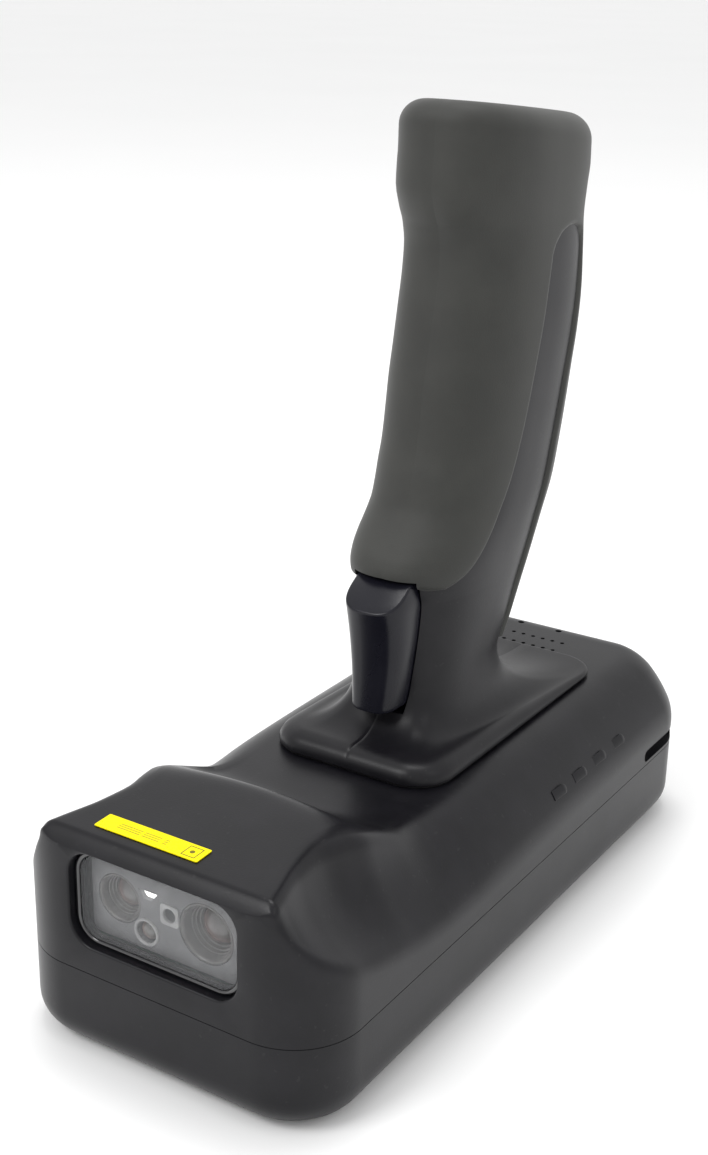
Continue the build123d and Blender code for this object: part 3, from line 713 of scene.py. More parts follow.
def makeLowerHousing(material):
    b = Builder()
    outer = lowerProfile(b, 0, 0, lower["round"])
    inner = lowerProfile(b, housing["wall"], lower["floor"], lower["innerRound"])
    b.skin(outer)
    b.skin(inner)
    b.skin([outer[0], inner[0]])
    faceHoles = [outer[-1]]
    floorHoles = [inner[-1]]
    hx, hy, r = lower["glass"]
    seat = sunkLoops(b, 0, lower["glassY"], hx, hy, r, 0.35, 0, lower["glassDepth"])
    sx, sy, sr = lower["screen"]
    ledge = b.loop([(u, lower["glassY"] + v, lower["glassDepth"]) for u, v in roundedLoop(sx, sy, sr, 8, 4)])
    opening = b.loop([(u, lower["glassY"] + v, lower["floor"]) for u, v in roundedLoop(sx, sy, sr, 8, 4)])
    b.skin(seat)
    b.fill([seat[-1], ledge])
    b.skin([ledge, opening])
    faceHoles.append(seat[0])
    floorHoles.append(opening)
    for x, keyX, keyY, keyR in lower["keys"]:
        sunk = sunkLoops(b, x, lower["keyY"], keyX, keyY, keyR, lower["keyLip"], 0, lower["floor"])
        b.skin(sunk)
        faceHoles.append(sunk[0])
        floorHoles.append(sunk[-1])
    for x in (-lower["screwX"], lower["screwX"]):
        for y in (-lower["screwY"], lower["screwY"]):
            screwR = lower["screwRadius"]
            sunk = sunkLoops(b, x, y, screwR + 0.001, screwR + 0.001, screwR, 0.3, 0, lower["screwDepth"], 7)
            b.skin(sunk)
            b.cap(sunk[-1])
            faceHoles.append(sunk[0])
    b.fill(faceHoles)
    b.fill(floorHoles)
    shell = b.mesh("lowerHousing")
    b = Builder()
    s = lower["socket"]
    flat = roundedLoop(s["halfX"], s["halfZ"], s["radius"], 8, 2)
    loops = [b.loop([(x, y, s["z"] + z) for x, z in flat]) for y in (81, 76)]
    b.solid(loops)
    cut(shell, b.mesh("socketTool"))
    shade(shell, 35)
    return finishPiece(shell, material, replaces=["front_housing"])


grip = dict(top=166.0, crown=5.2, power=2.6, bareInset=0.85, plinthY=20.15, plinthHalfX=20.3, plinthHalfY=38.85,
            plinthCorner=9.0, plinthLow=37.8, plinthFront=41.9, plinthRear=38.75, plinthRound=4.2,
            neckZ=53.0, flarePower=2.3, skinLow=54.0, skinSink=1.6, lipWidth=1.25, seam=0.16,
            fall=0.115, fallStart=13.0)
gripFront = through([(41, -6), (60, -5), (69, -5.0), (72.5, -5.9), (75.5, -6.4), (78, -5.6), (80.5, -3.7),
                     (83.5, -0.6), (86.5, 2.0), (90, 3.3), (94, 4.4), (98, 5.7), (106, 7.0), (111, 7.7),
                     (118, 9.2), (125, 10.6), (132.5, 12.0), (137.5, 12.4), (141.5, 11.6), (145.5, 9.6),
                     (149.5, 8.3), (153, 8.5), (157, 8.9), (166, 8.9)])
gripBack = through([(41, 27), (53, 32), (60, 36.3), (66, 40), (73, 44), (80, 47.6), (88, 51), (99, 54),
                    (109, 56.4), (118, 58.4), (126, 59.2), (134, 58.8), (141, 58.2), (148, 59.4), (154, 60),
                    (166, 59.6)])
gripHalf = through([(41, 12.8), (53, 13.2), (66, 13.8), (78, 14.7), (90, 15), (120, 15.1), (140, 14.8),
                    (154, 15.1), (166, 15)])
bareFront = through([(60, -6), (72.6, 0.5), (74.5, 4.6), (78, 9.5), (84, 15.2), (92, 20.4), (101, 24.2),
                     (112, 27.6), (124, 30.9), (134, 33)])
bareBack = through([(50, 26.2), (57, 26.6), (64, 28.4), (77, 34), (89, 38.3), (101, 42),
                    (118, 47.4), (133.5, 51.2)])
bareArch = dict(low=134.0, top=140.4, front=33.0, back=51.2)


def bareOutline():  # side view of the uncovered part: neck below, arched panel above, as (y, z) points
    up = [(float(bareFront(z)), z) for z in np.arange(73.2, bareArch["low"], 1.0)]
    centre = (bareArch["front"] + bareArch["back"]) / 2
    reach = (bareArch["back"] - bareArch["front"]) / 2
    rise = bareArch["top"] - bareArch["low"]
    arch = [(centre - reach * math.cos(a), bareArch["low"] + rise * math.sin(a))
            for a in np.linspace(0, math.pi, 19)]
    down = [(float(bareBack(z)), z) for z in np.arange(bareArch["low"] - 1, 56, -1.0)]
    return np.array([(-30, 72.9), (-6, 73.3), (0, 72.6)] + up + arch + down
                    + [(26.4, 53), (80, 53), (80, 30), (-30, 30)])


outline = bareOutline()


def bareDistance(y, z):  # signed distance in side view: positive where rubber covers the grip
    p = np.stack([y, z], -1)[..., None, :]
    a = outline
    c = np.roll(outline, -1, 0)
    edge = c - a
    t = np.clip(((p - a) * edge).sum(-1) / (edge ** 2).sum(-1), 0, 1)
    near = np.sqrt((((a + t[..., None] * edge) - p) ** 2).sum(-1)).min(-1)
    crosses = ((a[:, 1] > p[..., 1]) != (c[:, 1] > p[..., 1]))
    rise = np.where(np.abs(edge[:, 1]) < 1e-9, 1e-9, edge[:, 1])
    hits = crosses & (p[..., 0] < a[:, 0] + (p[..., 1] - a[:, 1]) / rise * edge[:, 0])
    inside = hits.sum(-1) % 2 == 1
    return np.where(inside, -near, near)


def gripColumns(z):  # angles from the front seam to the back seam, gathered at the edges of the bare panel
    front, back = float(gripFront(z)), float(gripBack(z))
    middle, deep = (front + back) / 2, (back - front) / 2

    def angleOf(y):
        s = np.clip((y - middle) / deep, -0.999, 0.999)
        return math.asin(np.sign(s) * abs(s) ** (grip["power"] / 2))
    edgeA = angleOf(max(float(bareFront(z)), front + 1.2))
    edgeB = angleOf(min(float(bareBack(z)), back - 1.2))
    soft = 1.3 / deep
    half = math.pi / 2
    edgeA = max(edgeA, -half + 2.2 * soft)
    edgeB = max(edgeB, edgeA + 4 * soft)
    parts = [np.linspace(-half, edgeA - soft, 25)[:-1], np.linspace(edgeA - soft, edgeA + soft, 9)[:-1],
             np.linspace(edgeA + soft, edgeB - soft, 19)[:-1], np.linspace(edgeB - soft, edgeB + soft, 9)[:-1],
             np.linspace(edgeB + soft, half, 19)]
    return np.concatenate(parts)


def gripPoints(z, angles, inset):
    # points of the right half of the grip at a height, drawn inset inside the rubber's surface
    front, back = float(gripFront(z)), float(gripBack(z))
    inset = np.asarray(inset, float)
    under = grip["top"] - z
    if under < grip["crown"]:
        u = 1 - under / grip["crown"]
        inset = inset + grip["crown"] * (1 - math.sqrt(max(1 - u * u, 0)))
    deep = (back - front) / 2 - inset
    wide = float(gripHalf(z)) - inset
    c, s = np.cos(angles), np.sin(angles)
    x = wide * np.abs(c) ** (2 / grip["power"])
    y = (front + back) / 2 + deep * np.sign(s) * np.abs(s) ** (2 / grip["power"])
    x[0] = x[-1] = 0
    return x, y


def crownFall(y, z):  # how far the grip's sloping top lowers a point
    return grip["fall"] * (np.asarray(y) - grip["fallStart"]) * smooth(146, 161, z)


def gripRows(low):
    rows = list(np.arange(low, 70, 1.6)) + list(np.arange(70, 83, 0.6)) + list(np.arange(83, 132, 1.6))
    rows += list(np.arange(132, 143, 0.5)) + list(np.arange(143, grip["top"] - grip["crown"], 1.6))
    crown = [grip["top"] - grip["crown"] * (1 - math.sin(math.radians(a))) for a in np.linspace(0, 88, 12)]
    return rows + crown


def closeHalf(b, loops):  # the flat faces at the seam plane, top and bottom of half a grip
    seam = [loop[0] for loop in loops] + [loop[-1] for loop in loops[::-1]]
    b.cap(seam)
    b.cap(loops[0])
    b.cap(loops[-1])


def sideFlip(points, side):
    return [(side * x, y, z) for x, y, z in points]


def makeSkin(side, material):
    b = Builder()
    loops = []
    for z in gripRows(grip["skinLow"]):
        angles = gripColumns(z)
        x, y = gripPoints(z, angles, 0)
        distance = bareDistance(y, np.full_like(y, z))
        u = np.clip((distance + 0.15) / grip["lipWidth"], 0, 1)
        sink = grip["skinSink"] * (1 - np.sqrt(1 - (1 - u) ** 2.2))
        seamFall = grip["seam"] * (1 - smooth(0.0, 0.45, x))
        x, y = gripPoints(z, angles, sink + seamFall)
        loops.append(b.loop(sideFlip(zip(x, y, z - crownFall(y, z)), side)))
    b.skin(loops, closed=False)
    closeHalf(b, loops)
    name = "rightGripSkin" if side > 0 else "leftGripSkin"
    skin = b.mesh(name)
    cut(skin, bayTool())
    shade(skin, 50)
    return finishPiece(skin, material,
                       replaces=["right_grip_skin" if side > 0 else "left_grip_skin"])


def plinthHalf(inset, fractions):  # half of the plinth's outline from front to back, by share of its length
    full = roundedLoop(grip["plinthHalfX"] - inset, grip["plinthHalfY"] - inset, grip["plinthCorner"] - inset,
                       24, 24)
    start = np.argmin(np.abs(full[:, 0]) + (full[:, 1] + grip["plinthHalfY"] - inset) * 10)
    ring = np.roll(full, -start, 0)
    ring = ring[: len(ring) // 2 + 1]
    ring[0, 0] = ring[-1, 0] = 0
    steps = np.concatenate([[0], np.cumsum(np.linalg.norm(np.diff(ring, axis=0), axis=1))])
    return (np.interp(fractions * steps[-1], steps, ring[:, 0]),
            np.interp(fractions * steps[-1], steps, ring[:, 1]) + grip["plinthY"])


def plinthTop(y):
    return np.interp(y, [-15, 55], [grip["plinthFront"], grip["plinthRear"]])


def makeShell(side, material):
    b = Builder()
    loops = []
    angles = gripColumns(grip["neckZ"])
    fractions = (angles + math.pi / 2) / math.pi
    fractions = 0.5 + 0.5 * np.sign(fractions - 0.5) * np.abs(2 * fractions - 1) ** 0.85
    outX, outY = plinthHalf(0, fractions)
    inX, inY = plinthHalf(grip["plinthRound"], fractions)
    low = grip["plinthLow"]
    top = plinthTop(outY)
    rise = top - low - 0.35
    reach = np.clip(rise / 3.5, 0.22, 1)
    seamFall = grip["seam"] * (1 - smooth(0.0, 0.4, outX))

    def ring(inset, z):
        x = outX + (inX - outX) * inset / grip["plinthRound"]
        y = outY + (inY - outY) * inset / grip["plinthRound"]
        loops.append(b.loop(sideFlip(zip(x, y, z + 0 * x), side)))
        return x, y
    ring(0.30, low)
    ring(0.0, low + 0.30)
    for a in np.linspace(0, 90, 15):
        turn = math.radians(a)
        baseX, baseY = ring(grip["plinthRound"] * reach * (1 - math.cos(turn)) ** 1.15,
                            top - rise * (1 - math.sin(turn)) - seamFall * math.sin(turn))
    neckX, neckY = gripPoints(grip["neckZ"], angles, grip["bareInset"])
    power = grip["flarePower"]
    for w in np.sin(np.linspace(0, math.pi / 2, 30)[1:]):
        lift = 1 - (1 - w ** power) ** (1 / power)
        z = top - seamFall + (grip["neckZ"] - top + seamFall) * lift
        x = baseX + (neckX - baseX) * w
        y = baseY + (neckY - baseY) * w
        loops.append(b.loop(sideFlip(zip(x, y, z), side)))
    for z in gripRows(grip["neckZ"] + 0.8):
        if z > grip["top"] - grip["crown"] - 2:
            break
        angles = gripColumns(z)
        x, y = gripPoints(z, angles, grip["bareInset"])
        loops.append(b.loop(sideFlip(zip(x, y, z - crownFall(y, z)), side)))
    b.skin(loops, closed=False)
    closeHalf(b, loops)
    name = "rightHandleShell" if side > 0 else "leftHandleShell"
    shell = b.mesh(name)
    cut(shell, bayTool())
    if side < 0:
        cut(shell, screwWells())
    shade(shell, 40)
    return finishPiece(shell, material,
                       replaces=["right_handle_shell" if side > 0 else "left_handle_shell"])


triggerBay = dict(low=46.3, high=75.0, back=9.5)


def triggerWidth(v):  # half width of the trigger, by share of its height
    return trigger["halfLow"] + (trigger["halfHigh"] - trigger["halfLow"]) * float(smooth(-0.35, 0.92, v))


def bayTool():
    b = Builder()
    low, high = triggerBay["low"], triggerBay["high"]
    side = [(triggerWidth((z - trigger["low"]) / 26) + 0.24, z) for z in np.linspace(low, high, 14)]
    flat = side + [(-x, z) for x, z in side[::-1]]
    loops = [b.loop([(x, y, z) for x, z in flat]) for y in (-30, triggerBay["back"])]
    b.solid(loops)
    return b.mesh("bayTool")


handleScrews = dict(spots=((20.0, 60.0), (30.0, 86.0), (36.0, 110.0), (42.0, 133.0)), well=2.6,
                    headX=-8.5)


def screwWells():
    b = Builder()
    for y, z in handleScrews["spots"]:
        ring = [(math.cos(a), math.sin(a)) for a in np.linspace(0, 2 * math.pi, 29)[:-1]]
        loops = [b.loop([(x, y + handleScrews["well"] * c, z + handleScrews["well"] * s) for c, s in ring])
                 for x in (-22, -7.45)]
        b.solid(loops)
    return b.mesh("wellTool")


trigger = dict(low=48.0, halfLow=5.0, halfHigh=7.0, frontLow=-10.5, frontHigh=-12.0, waist=1.0, back=2.0,
               topFront=69.9, topBack=74.6, power=3.5, edge=0.4, bow=0.5)


def triggerOutline(count=49):
    # plan of the trigger's pad: a D with its round side forwards, as unit (x, y) with y from -1 to 0
    angles = np.linspace(math.pi, 2 * math.pi, count)
    c, s = np.cos(angles), np.sin(angles)
    x = np.sign(c) * np.abs(c) ** (2 / trigger["power"])
    y = -np.abs(s) ** (2 / trigger["power"])
    return x, y


def makeTrigger(material):
    b = Builder()
    ux, uy = triggerOutline()
    loops = []
    heights = np.concatenate([[0, 0.008, 0.02], np.linspace(0.04, 0.96, 28), [0.98, 0.990, 0.996, 1.0]])
    rear = -2.5
    for v in heights:
        front = trigger["frontLow"] + (trigger["frontHigh"] - trigger["frontLow"]) * v ** 1.6
        front += trigger["waist"] * math.sin(math.pi * min(v * 0.98, 1))
        near = min(v, 1 - v)
        pull = trigger["edge"] * (1 - math.sqrt(max(1 - (1 - min(near / 0.018, 1)) ** 2, 0)))
        front += pull
        bow = trigger["bow"] * (1 - ux[::-1] ** 2)
        x = np.concatenate([[1.0, 0.999], ux[::-1], [-0.999, -1.0]])
        y = np.concatenate([[trigger["back"], rear + 1.0], rear + uy[::-1] * (rear - front) - bow * -uy[::-1],
                            [rear + 1.0, trigger["back"]]])
        climb = (trigger["topBack"] - trigger["topFront"]) / 7.0
        topZ = np.minimum(trigger["topFront"] + (y - trigger["frontHigh"]) * climb, trigger["topBack"])
        lowZ = trigger["low"] + np.clip(-y - 6, 0, 10) * -0.12
        z = lowZ + (topZ - lowZ) * v
        wide = np.array([triggerWidth((h - trigger["low"]) / 26) for h in z])
        wide = wide - 0.7 * smooth(69.5, 75, z) - pull
        loops.append(b.loop(list(zip(x * wide, y, z))))
    b.solid(loops)
    pad = b.mesh("triggerPad")
    arm = armBlock()
    made = joined([pad, arm])
    made.name = "triggerPiece"
    shade(made, 32)
    return finishPiece(made, material, rides="trigger", replaces=["trigger"])


def armBlock():  # the arm behind the pin that presses the spring
    b = Builder()
    profile = [(2.0, 66.2), (14.8, 67.0), (14.8, 72.0), (5.0, 73.0), (2.0, 74.0)]
    loops = [b.loop([(x, y, z) for y, z in profile]) for x in (-4, 4)]
    b.solid(loops)
    return b.mesh("triggerArm")


def softCopy(name, material, rides=body, bevel=0.0, angle=32, segments=2):
    # a CAD node's shape with softened edges
    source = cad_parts[name]
    thing = bpy.data.objects.new(name + "Soft", source.data.copy())
    bpy.context.scene.collection.objects.link(thing)
    tidyMesh(thing)
    bm = bmesh.new()
    bm.from_mesh(thing.data)
    bmesh.ops.dissolve_limit(bm, angle_limit=math.radians(0.5), verts=bm.verts, edges=bm.edges)
    bm.to_mesh(thing.data)
    bm.free()
    if bevel:
        step = thing.modifiers.new("bevel", "BEVEL")
        step.width = bevel * mm
        step.segments = segments
        step.limit_method = "ANGLE"
        step.angle_limit = math.radians(40)
        step.use_clamp_overlap = True
        applyAll(thing)
    shade(thing, angle)
    return finishPiece(thing, material, rides=rides, replaces=[name])


def dress(name, material):
    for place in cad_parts[name].material_slots:
        place.material = material


def lathe(name, centre, profile, along=(0, 1, 0), turns=64):
    # turned piece: profile of (radius, place along its axis), closed on the axis where the radius is 0
    axis = Vector(along)
    side = axis.orthogonal().normalized()
    other = axis.cross(side)
    b = Builder()
    loops = []
    for radius, place in profile:
        ring = []
        for n in range(turns):
            a = 2 * math.pi * n / turns
            p = Vector(centre) + axis * place + (side * math.cos(a) + other * math.sin(a)) * max(radius, 0.0)
            ring.append(tuple(p))
        if radius <= 0:
            loops.append([b.loop([tuple(Vector(centre) + axis * place)])[0]] * turns)
        else:
            loops.append(b.loop(ring))
    for first, second in zip(loops[:-1], loops[1:]):
        for n in range(turns):
            m = (n + 1) % turns
            face = list(dict.fromkeys([first[n], first[m], second[m], second[n]]))
            if len(face) > 2:
                b.faces.append(tuple(face))
    if profile[0][0] > 0 and profile[-1][0] > 0 and profile[0] != profile[-1]:
        for n in range(turns):
            m = (n + 1) % turns
            b.faces.append((loops[-1][n], loops[-1][m], loops[0][m], loops[0][n]))
    thing = b.mesh(name)
    shade(thing, 30)
    return thing


pips = dict(count=4, first=13.0, pitch=9.63, z=28.9, length=4.9, tall=2.1, height=0.62)


def repeatTree():  # Geometry Nodes: one shape set down on every point it is given
    tree = bpy.data.node_groups.new("repeatOnPoints", "GeometryNodeTree")
    tree.is_modifier = True
    face = tree.interface
    face.new_socket("Geometry", in_out="OUTPUT", socket_type="NodeSocketGeometry")
    names = {"Points": face.new_socket("Points", in_out="INPUT", socket_type="NodeSocketGeometry").identifier}
    for label, kind in (("Shape", "NodeSocketObject"), ("Scale", "NodeSocketFloat"),
                        ("Material", "NodeSocketMaterial")):
        names[label] = face.new_socket(label, in_out="INPUT", socket_type=kind).identifier
    given = tree.nodes.new("NodeGroupInput")
    shape = tree.nodes.new("GeometryNodeObjectInfo")
    spread = tree.nodes.new("GeometryNodeInstanceOnPoints")
    real = tree.nodes.new("GeometryNodeRealizeInstances")
    coat = tree.nodes.new("GeometryNodeSetMaterial")
    out = tree.nodes.new("NodeGroupOutput")
    link = tree.links.new
    link(given.outputs["Shape"], shape.inputs["Object"])
    link(given.outputs["Points"], spread.inputs["Points"])
    link(shape.outputs["Geometry"], spread.inputs["Instance"])
    link(given.outputs["Scale"], spread.inputs["Scale"])
    link(spread.outputs["Instances"], real.inputs["Geometry"])
    link(real.outputs["Geometry"], coat.inputs["Geometry"])
    link(given.outputs["Material"], coat.inputs["Material"])
    link(coat.outputs["Geometry"], out.inputs["Geometry"])
    return tree, names


repeats = repeatTree()


def repeated(name, shape, places, material):  # the shape at every place, as one plain mesh
    points = bpy.data.meshes.new(name)
    points.from_pydata([tuple(c * mm for c in p) for p in places], [], [])
    thing = fromTree(name, *repeats, {"Shape": shape, "Scale": 1.0, "Material": material}, base=points)
    bpy.data.objects.remove(shape)
    return thing


def slopePlace(y, z):  # where the side slope of the housing reaches a height, with its outward direction
    section = housingSection(y, 0)
    for (x0, _, z0), (x1, _, z1) in zip(section[:-1], section[1:]):
        if z0 <= z < z1:
            share = (z - z0) / (z1 - z0)
            along = Vector((x1 - x0, 0, z1 - z0)).normalized()
            return Vector((x0 + (x1 - x0) * share, y, z)), along
    return None


def makePips(material):
    middle = (pips["first"] + pips["first"] + pips["pitch"] * (pips["count"] - 1)) / 2
    place, along = slopePlace(middle, pips["z"])
    outward = Vector((along.z, 0, -along.x))
    half = pips["length"] / 2
    wide = pips["tall"] / 2
    flat = [(-half, -wide), (half - wide, -wide)]
    flat += [(half - wide + wide * math.cos(a), wide * math.sin(a)) for a in np.linspace(-1.35, 1.35, 15)]
    flat += [(half - wide, wide), (-half, wide)]

    def level(u):
        return 0.02 + pips["height"] * float(smooth(-half, half * 0.7, u))
    b = Builder()
    loops = []
    for lift, shrink in ((None, 1.0), (0.0, 1.0), (0.7, 0.97), (1.0, 0.88)):
        ring = []
        for u, v in flat:
            h = -0.5 if lift is None else level(u) * (0.55 + 0.45 * lift)
            p = Vector((0, 1, 0)) * (u * (1 if u < 0 else shrink)) + along * v * shrink + outward * h
            ring.append(tuple(p))
        loops.append(b.loop(ring))
    b.solid(loops)
    shape = b.mesh("pip")
    shade(shape, 35)
    places = [(place.x, pips["first"] + pips["pitch"] * n, place.z) for n in range(pips["count"])]
    thing = repeated("sidePips", shape, places, material)
    return finishPiece(thing, material)


def screwShape(along, shank=12.0):  # domed screw head with a hexagon recess, on its shank
    head = lathe("screwHead", (0, 0, 0), [(0, 1.05), (1.15, 1.02), (1.75, 0.82), (2.12, 0.42), (2.3, 0.0),
                                         (2.3, -0.75), (1.15, -0.75), (1.15, -shank), (0, -shank)],
                 along=along, turns=40)
    tool = lathe("hexTool", (0, 0, 0), [(0, 2.0), (1.05, 2.0), (1.05, -0.25), (0, -0.25)], along=along, turns=6)
    cut(head, tool)
    shade(head, 30)
    return head


def makeScrews(name, shape, spots, material, node):
    thing = repeated(name, shape, spots, material)
    shade(thing, 30)
    return finishPiece(thing, material, replaces=[node])


caseSpots = [(x, y, lower["screwSeat"]) for x in (-lower["screwX"], lower["screwX"])
             for y in (-lower["screwY"], lower["screwY"])]
handleSpots = [(handleScrews["headX"], y, z) for y, z in handleScrews["spots"]]
plinthScrews = dict(x=15.0, front=-9.5, rear=50.0, z=34.0, shank=4.2)
plinthSpots = [(x, y, plinthScrews["z"]) for x in (-plinthScrews["x"], plinthScrews["x"])
               for y in (plinthScrews["front"], plinthScrews["rear"])]


engine = dict(front=-75.6, rear=-62.0, z=33.4, halfX=17.0, halfZ=9.0, corner=2.0,
              left=dict(x=-10.5, z=33.0, radius=4.85), right=dict(x=8.9, z=32.5, radius=5.95),
              aimer=dict(x=-4.4, z=28.2, radius=2.15), port=dict(x=1.0, z=33.5, radius=1.35),
              lampPocket=((-6.2, 36.6), (-1.8, 36.6), (-3.2, 34.9), (-4.9, 34.9)),
              lampMiddle=(-4.0, 0, 35.8))
cupShape = [  # radius and depth, both as shares of the cup's radius
            (1.0, 1.4), (1.0, 0.06), (0.97, 0.01), (0.93, 0.0), (0.89, 0.03), (0.86, 0.10),
            (0.82, 0.36), (0.79, 0.37),
            (0.765, 0.48), (0.725, 0.49), (0.70, 0.60), (0.66, 0.62), (0.66, 1.4), (1.0, 1.4)]
domeShape = [(0, 0.34), (0.14, 0.35), (0.28, 0.39), (0.42, 0.46), (0.54, 0.56), (0.62, 0.67), (0.65, 0.74),
             (0.65, 1.0), (0, 1.0)]


def scaled(shape, radius):
    return [(r * radius, p * radius) for r, p in shape]


def ringPlate(name, x, z, outer, inner, high):
    # a raised rounded square with a round hole, in front of the engine block
    b = Builder()
    loops = []
    for half, y in ((outer, 0.3), (outer, -high + 0.1), (outer - 0.12, -high)):
        flat = roundedLoop(half, half, half * 0.35, 8, 2)
        loops.append(b.loop([(x + u, engine["front"] + y, z + v) for u, v in flat]))
    count = len(loops[0])
    turn = [2 * math.pi * n / count for n in range(count)]
    start = math.atan2(flat[0][1], flat[0][0])
    for radius, y in ((inner + 0.12, -high), (inner, -high + 0.12), (inner, 0.3)):
        loops.append(b.loop([(x + radius * math.cos(start + a), engine["front"] + y,
                              z + radius * math.sin(start + a)) for a in turn]))
    b.skin(loops + [loops[0]])
    thing = b.mesh(name)
    shade(thing, 30)
    return thing


def makeEngineBlock(material):
    b = Builder()
    loops = []
    for y, inset in ((engine["rear"], 0), (engine["front"] + 0.4, 0), (engine["front"] + 0.12, 0.12),
                     (engine["front"], 0.4)):
        flat = roundedLoop(engine["halfX"] - inset, engine["halfZ"] - inset, engine["corner"] - inset, 8, 4)
        loops.append(b.loop([(x, y, engine["z"] + z) for x, z in flat]))
    b.solid(loops)
    block = b.mesh("engineBlock")
    for part, deep in (("left", 11), ("right", 11), ("aimer", 8), ("port", 6)):
        spot = engine[part]
        b = Builder()
        ring = [(math.cos(a) * spot["radius"], math.sin(a) * spot["radius"])
                for a in np.linspace(0, 2 * math.pi, 49)[:-1]]
        loops = [b.loop([(spot["x"] + u, y, spot["z"] + v) for u, v in ring])
                 for y in (engine["front"] - 1, engine["front"] + deep)]
        b.solid(loops)
        cut(block, b.mesh("boreTool"))
    b = Builder()
    loops = [b.loop([(x, y, z) for x, z in engine["lampPocket"]])
             for y in (engine["front"] - 1, engine["front"] + 3)]
    b.solid(loops)
    cut(block, b.mesh("pocketTool"))
    shade(block, 30)
    return finishPiece(block, material, replaces=["engine_chassis"])


def makeLamp(material):
    b = Builder()
    middle = Vector(engine["lampMiddle"])
    loops = []
    for y, share in ((2.9, 0.96), (1.1, 0.96), (0.9, 0.88)):
        forward = Vector((0, engine["front"] + y, 0))
        loops.append(b.loop([tuple(middle + (Vector((x, 0, z)) - middle) * share + forward)
                             for x, z in engine["lampPocket"]]))
    b.solid(loops)
    lamp = b.mesh("lamp")
    shade(lamp, 30)
    return finishPiece(lamp, material, replaces=["illumination_led"])


def makeEngine(pale, bright, dark, glassy, lampMaterial):
    front = engine["front"]
    makeEngineBlock(pale)
    for name in ("left", "right"):
        spot = engine[name]
        at = (spot["x"], front, spot["z"])
        radius = spot["radius"] - 0.04
        finishPiece(lathe(name + "Barrel", at, scaled(cupShape, radius)), dark,
                    replaces=[name + "_lens_barrel"])
        finishPiece(lathe(name + "Dome", at, scaled(domeShape, radius)), glassy,
                    replaces=[name + "_lens"])
    spot = engine["aimer"]
    at = (spot["x"], front, spot["z"])
    dome = [(0, -0.1), (0.6, -0.04), (1.2, 0.2), (1.7, 0.65), (2.0, 1.3), (2.0, 4.4), (0, 4.4)]
    finishPiece(lathe("aimerDome", at, dome), glassy, replaces=["aimer_lens"])
    edge = [(2.15, 0.7), (2.15, -0.1), (2.3, -0.3), (2.65, -0.3), (2.8, -0.05), (2.8, 0.7), (2.15, 0.7)]
    ring = lathe("aimerRing", at, edge)
    finishPiece(ring, bright)
    spot = engine["port"]
    finishPiece(ringPlate("portFrame", spot["x"], spot["z"], 2.05, 1.35, 0.35), bright)
    makeLamp(lampMaterial)


window = dict(z=33.1, glassHalfX=17.5, glassHalfZ=8.6, glassCorner=4.2, halfX=18.5, halfZ=9.4, corner=4.95,
              front=-78.45, rear=-76.3, bead=0.42)


def makeWindow(frameMaterial, glassMaterial):
    w = window
    b = Builder()
    loops = []

    def ring(y, grow, inner):
        halfX = w["glassHalfX"] - 0.1 if inner else w["halfX"]
        halfZ = w["glassHalfZ"] - 0.1 if inner else w["halfZ"]
        corner = w["glassCorner"] - 0.1 if inner else w["corner"]
        flat = roundedLoop(halfX + grow, halfZ + grow, corner + grow, 16, 8)
        loops.append(b.loop([(x, y, w["z"] + z) for x, z in flat]))
    ring(w["rear"], 0, False)
    for a in (0, 22, 45, 68, 90):
        turn = math.radians(a)
        ring(w["front"] + w["bead"] * (1 - math.sin(turn)), -w["bead"] * (1 - math.cos(turn)), False)
    for a in (90, 68, 45, 22, 0):
        turn = math.radians(a)
        ring(w["front"] + w["bead"] * (1 - math.sin(turn)), w["bead"] * (1 - math.cos(turn)), True)
    ring(w["rear"], 0, True)
    b.skin(loops + [loops[0]])
    rim = b.mesh("windowRim")
    shade(rim, 40)
    finishPiece(rim, frameMaterial, replaces=["window_frame"])
    b = Builder()
    plate = []
    for y, inset in ((-77.0, 0.12), (-77.12, 0), (-77.9, 0), (-78.05, 0.05), (-78.12, 0.15)):
        flat = roundedLoop(w["glassHalfX"] - 0.12 - inset, w["glassHalfZ"] - 0.12 - inset,
                           w["glassCorner"] - 0.12 - inset, 16, 8)
        plate.append(b.loop([(x, y, w["z"] + z) for x, z in flat]))
    b.solid(plate)
    pane = b.mesh("windowPane")
    shade(pane, 40)
    finishPiece(pane, glassMaterial, replaces=["scan_window"])


def makeSeal(material):
    b = Builder()
    high, low, out, deep = 18.16, 18.0, 0.14, 1.6
    loops = [planLoop(b, low, out), planLoop(b, high, out), planLoop(b, high, deep), planLoop(b, low, deep)]
    b.skin(loops + [loops[0]])
    ring = b.mesh("sealRing")
    shade(ring, 40)
    return finishPiece(ring, material, replaces=["housing_seal"])


print("pieces: materials")
plastic = mouldedPlastic("housingPlastic", housingLook)
handlePlastic = mouldedPlastic("handlePlastic", handleLook)
triggerPlastic = mouldedPlastic("triggerPlastic", triggerLook)
rubber = gripRubber("gripRubber")
gasketRubber = plainRubber("gasketRubber", (0.009, 0.009, 0.010))
keyRubber = plainRubber("keyRubber", (0.030, 0.030, 0.032))
steel = platedSteel("platedSteel")
glass = windowGlass("windowGlass")
frameLook = dict(housingLook, roughness=0.12, specular=1.0, bump=0.0, roughnessSpread=0.04)
framePlastic = mouldedPlastic("framePlastic", frameLook)
enginePale = engineGrey("enginePale", dict(dark=(0.105, 0.105, 0.11), light=(0.15, 0.15, 0.155),
                                           roughness=0.45))
engineBright = engineGrey("engineBright", dict(dark=(0.26, 0.26, 0.26), light=(0.36, 0.36, 0.36),
                                               roughness=0.4))
engineDark = engineGrey("engineDark", dict(dark=(0.085, 0.080, 0.078), light=(0.13, 0.125, 0.12),
                                           roughness=0.32))
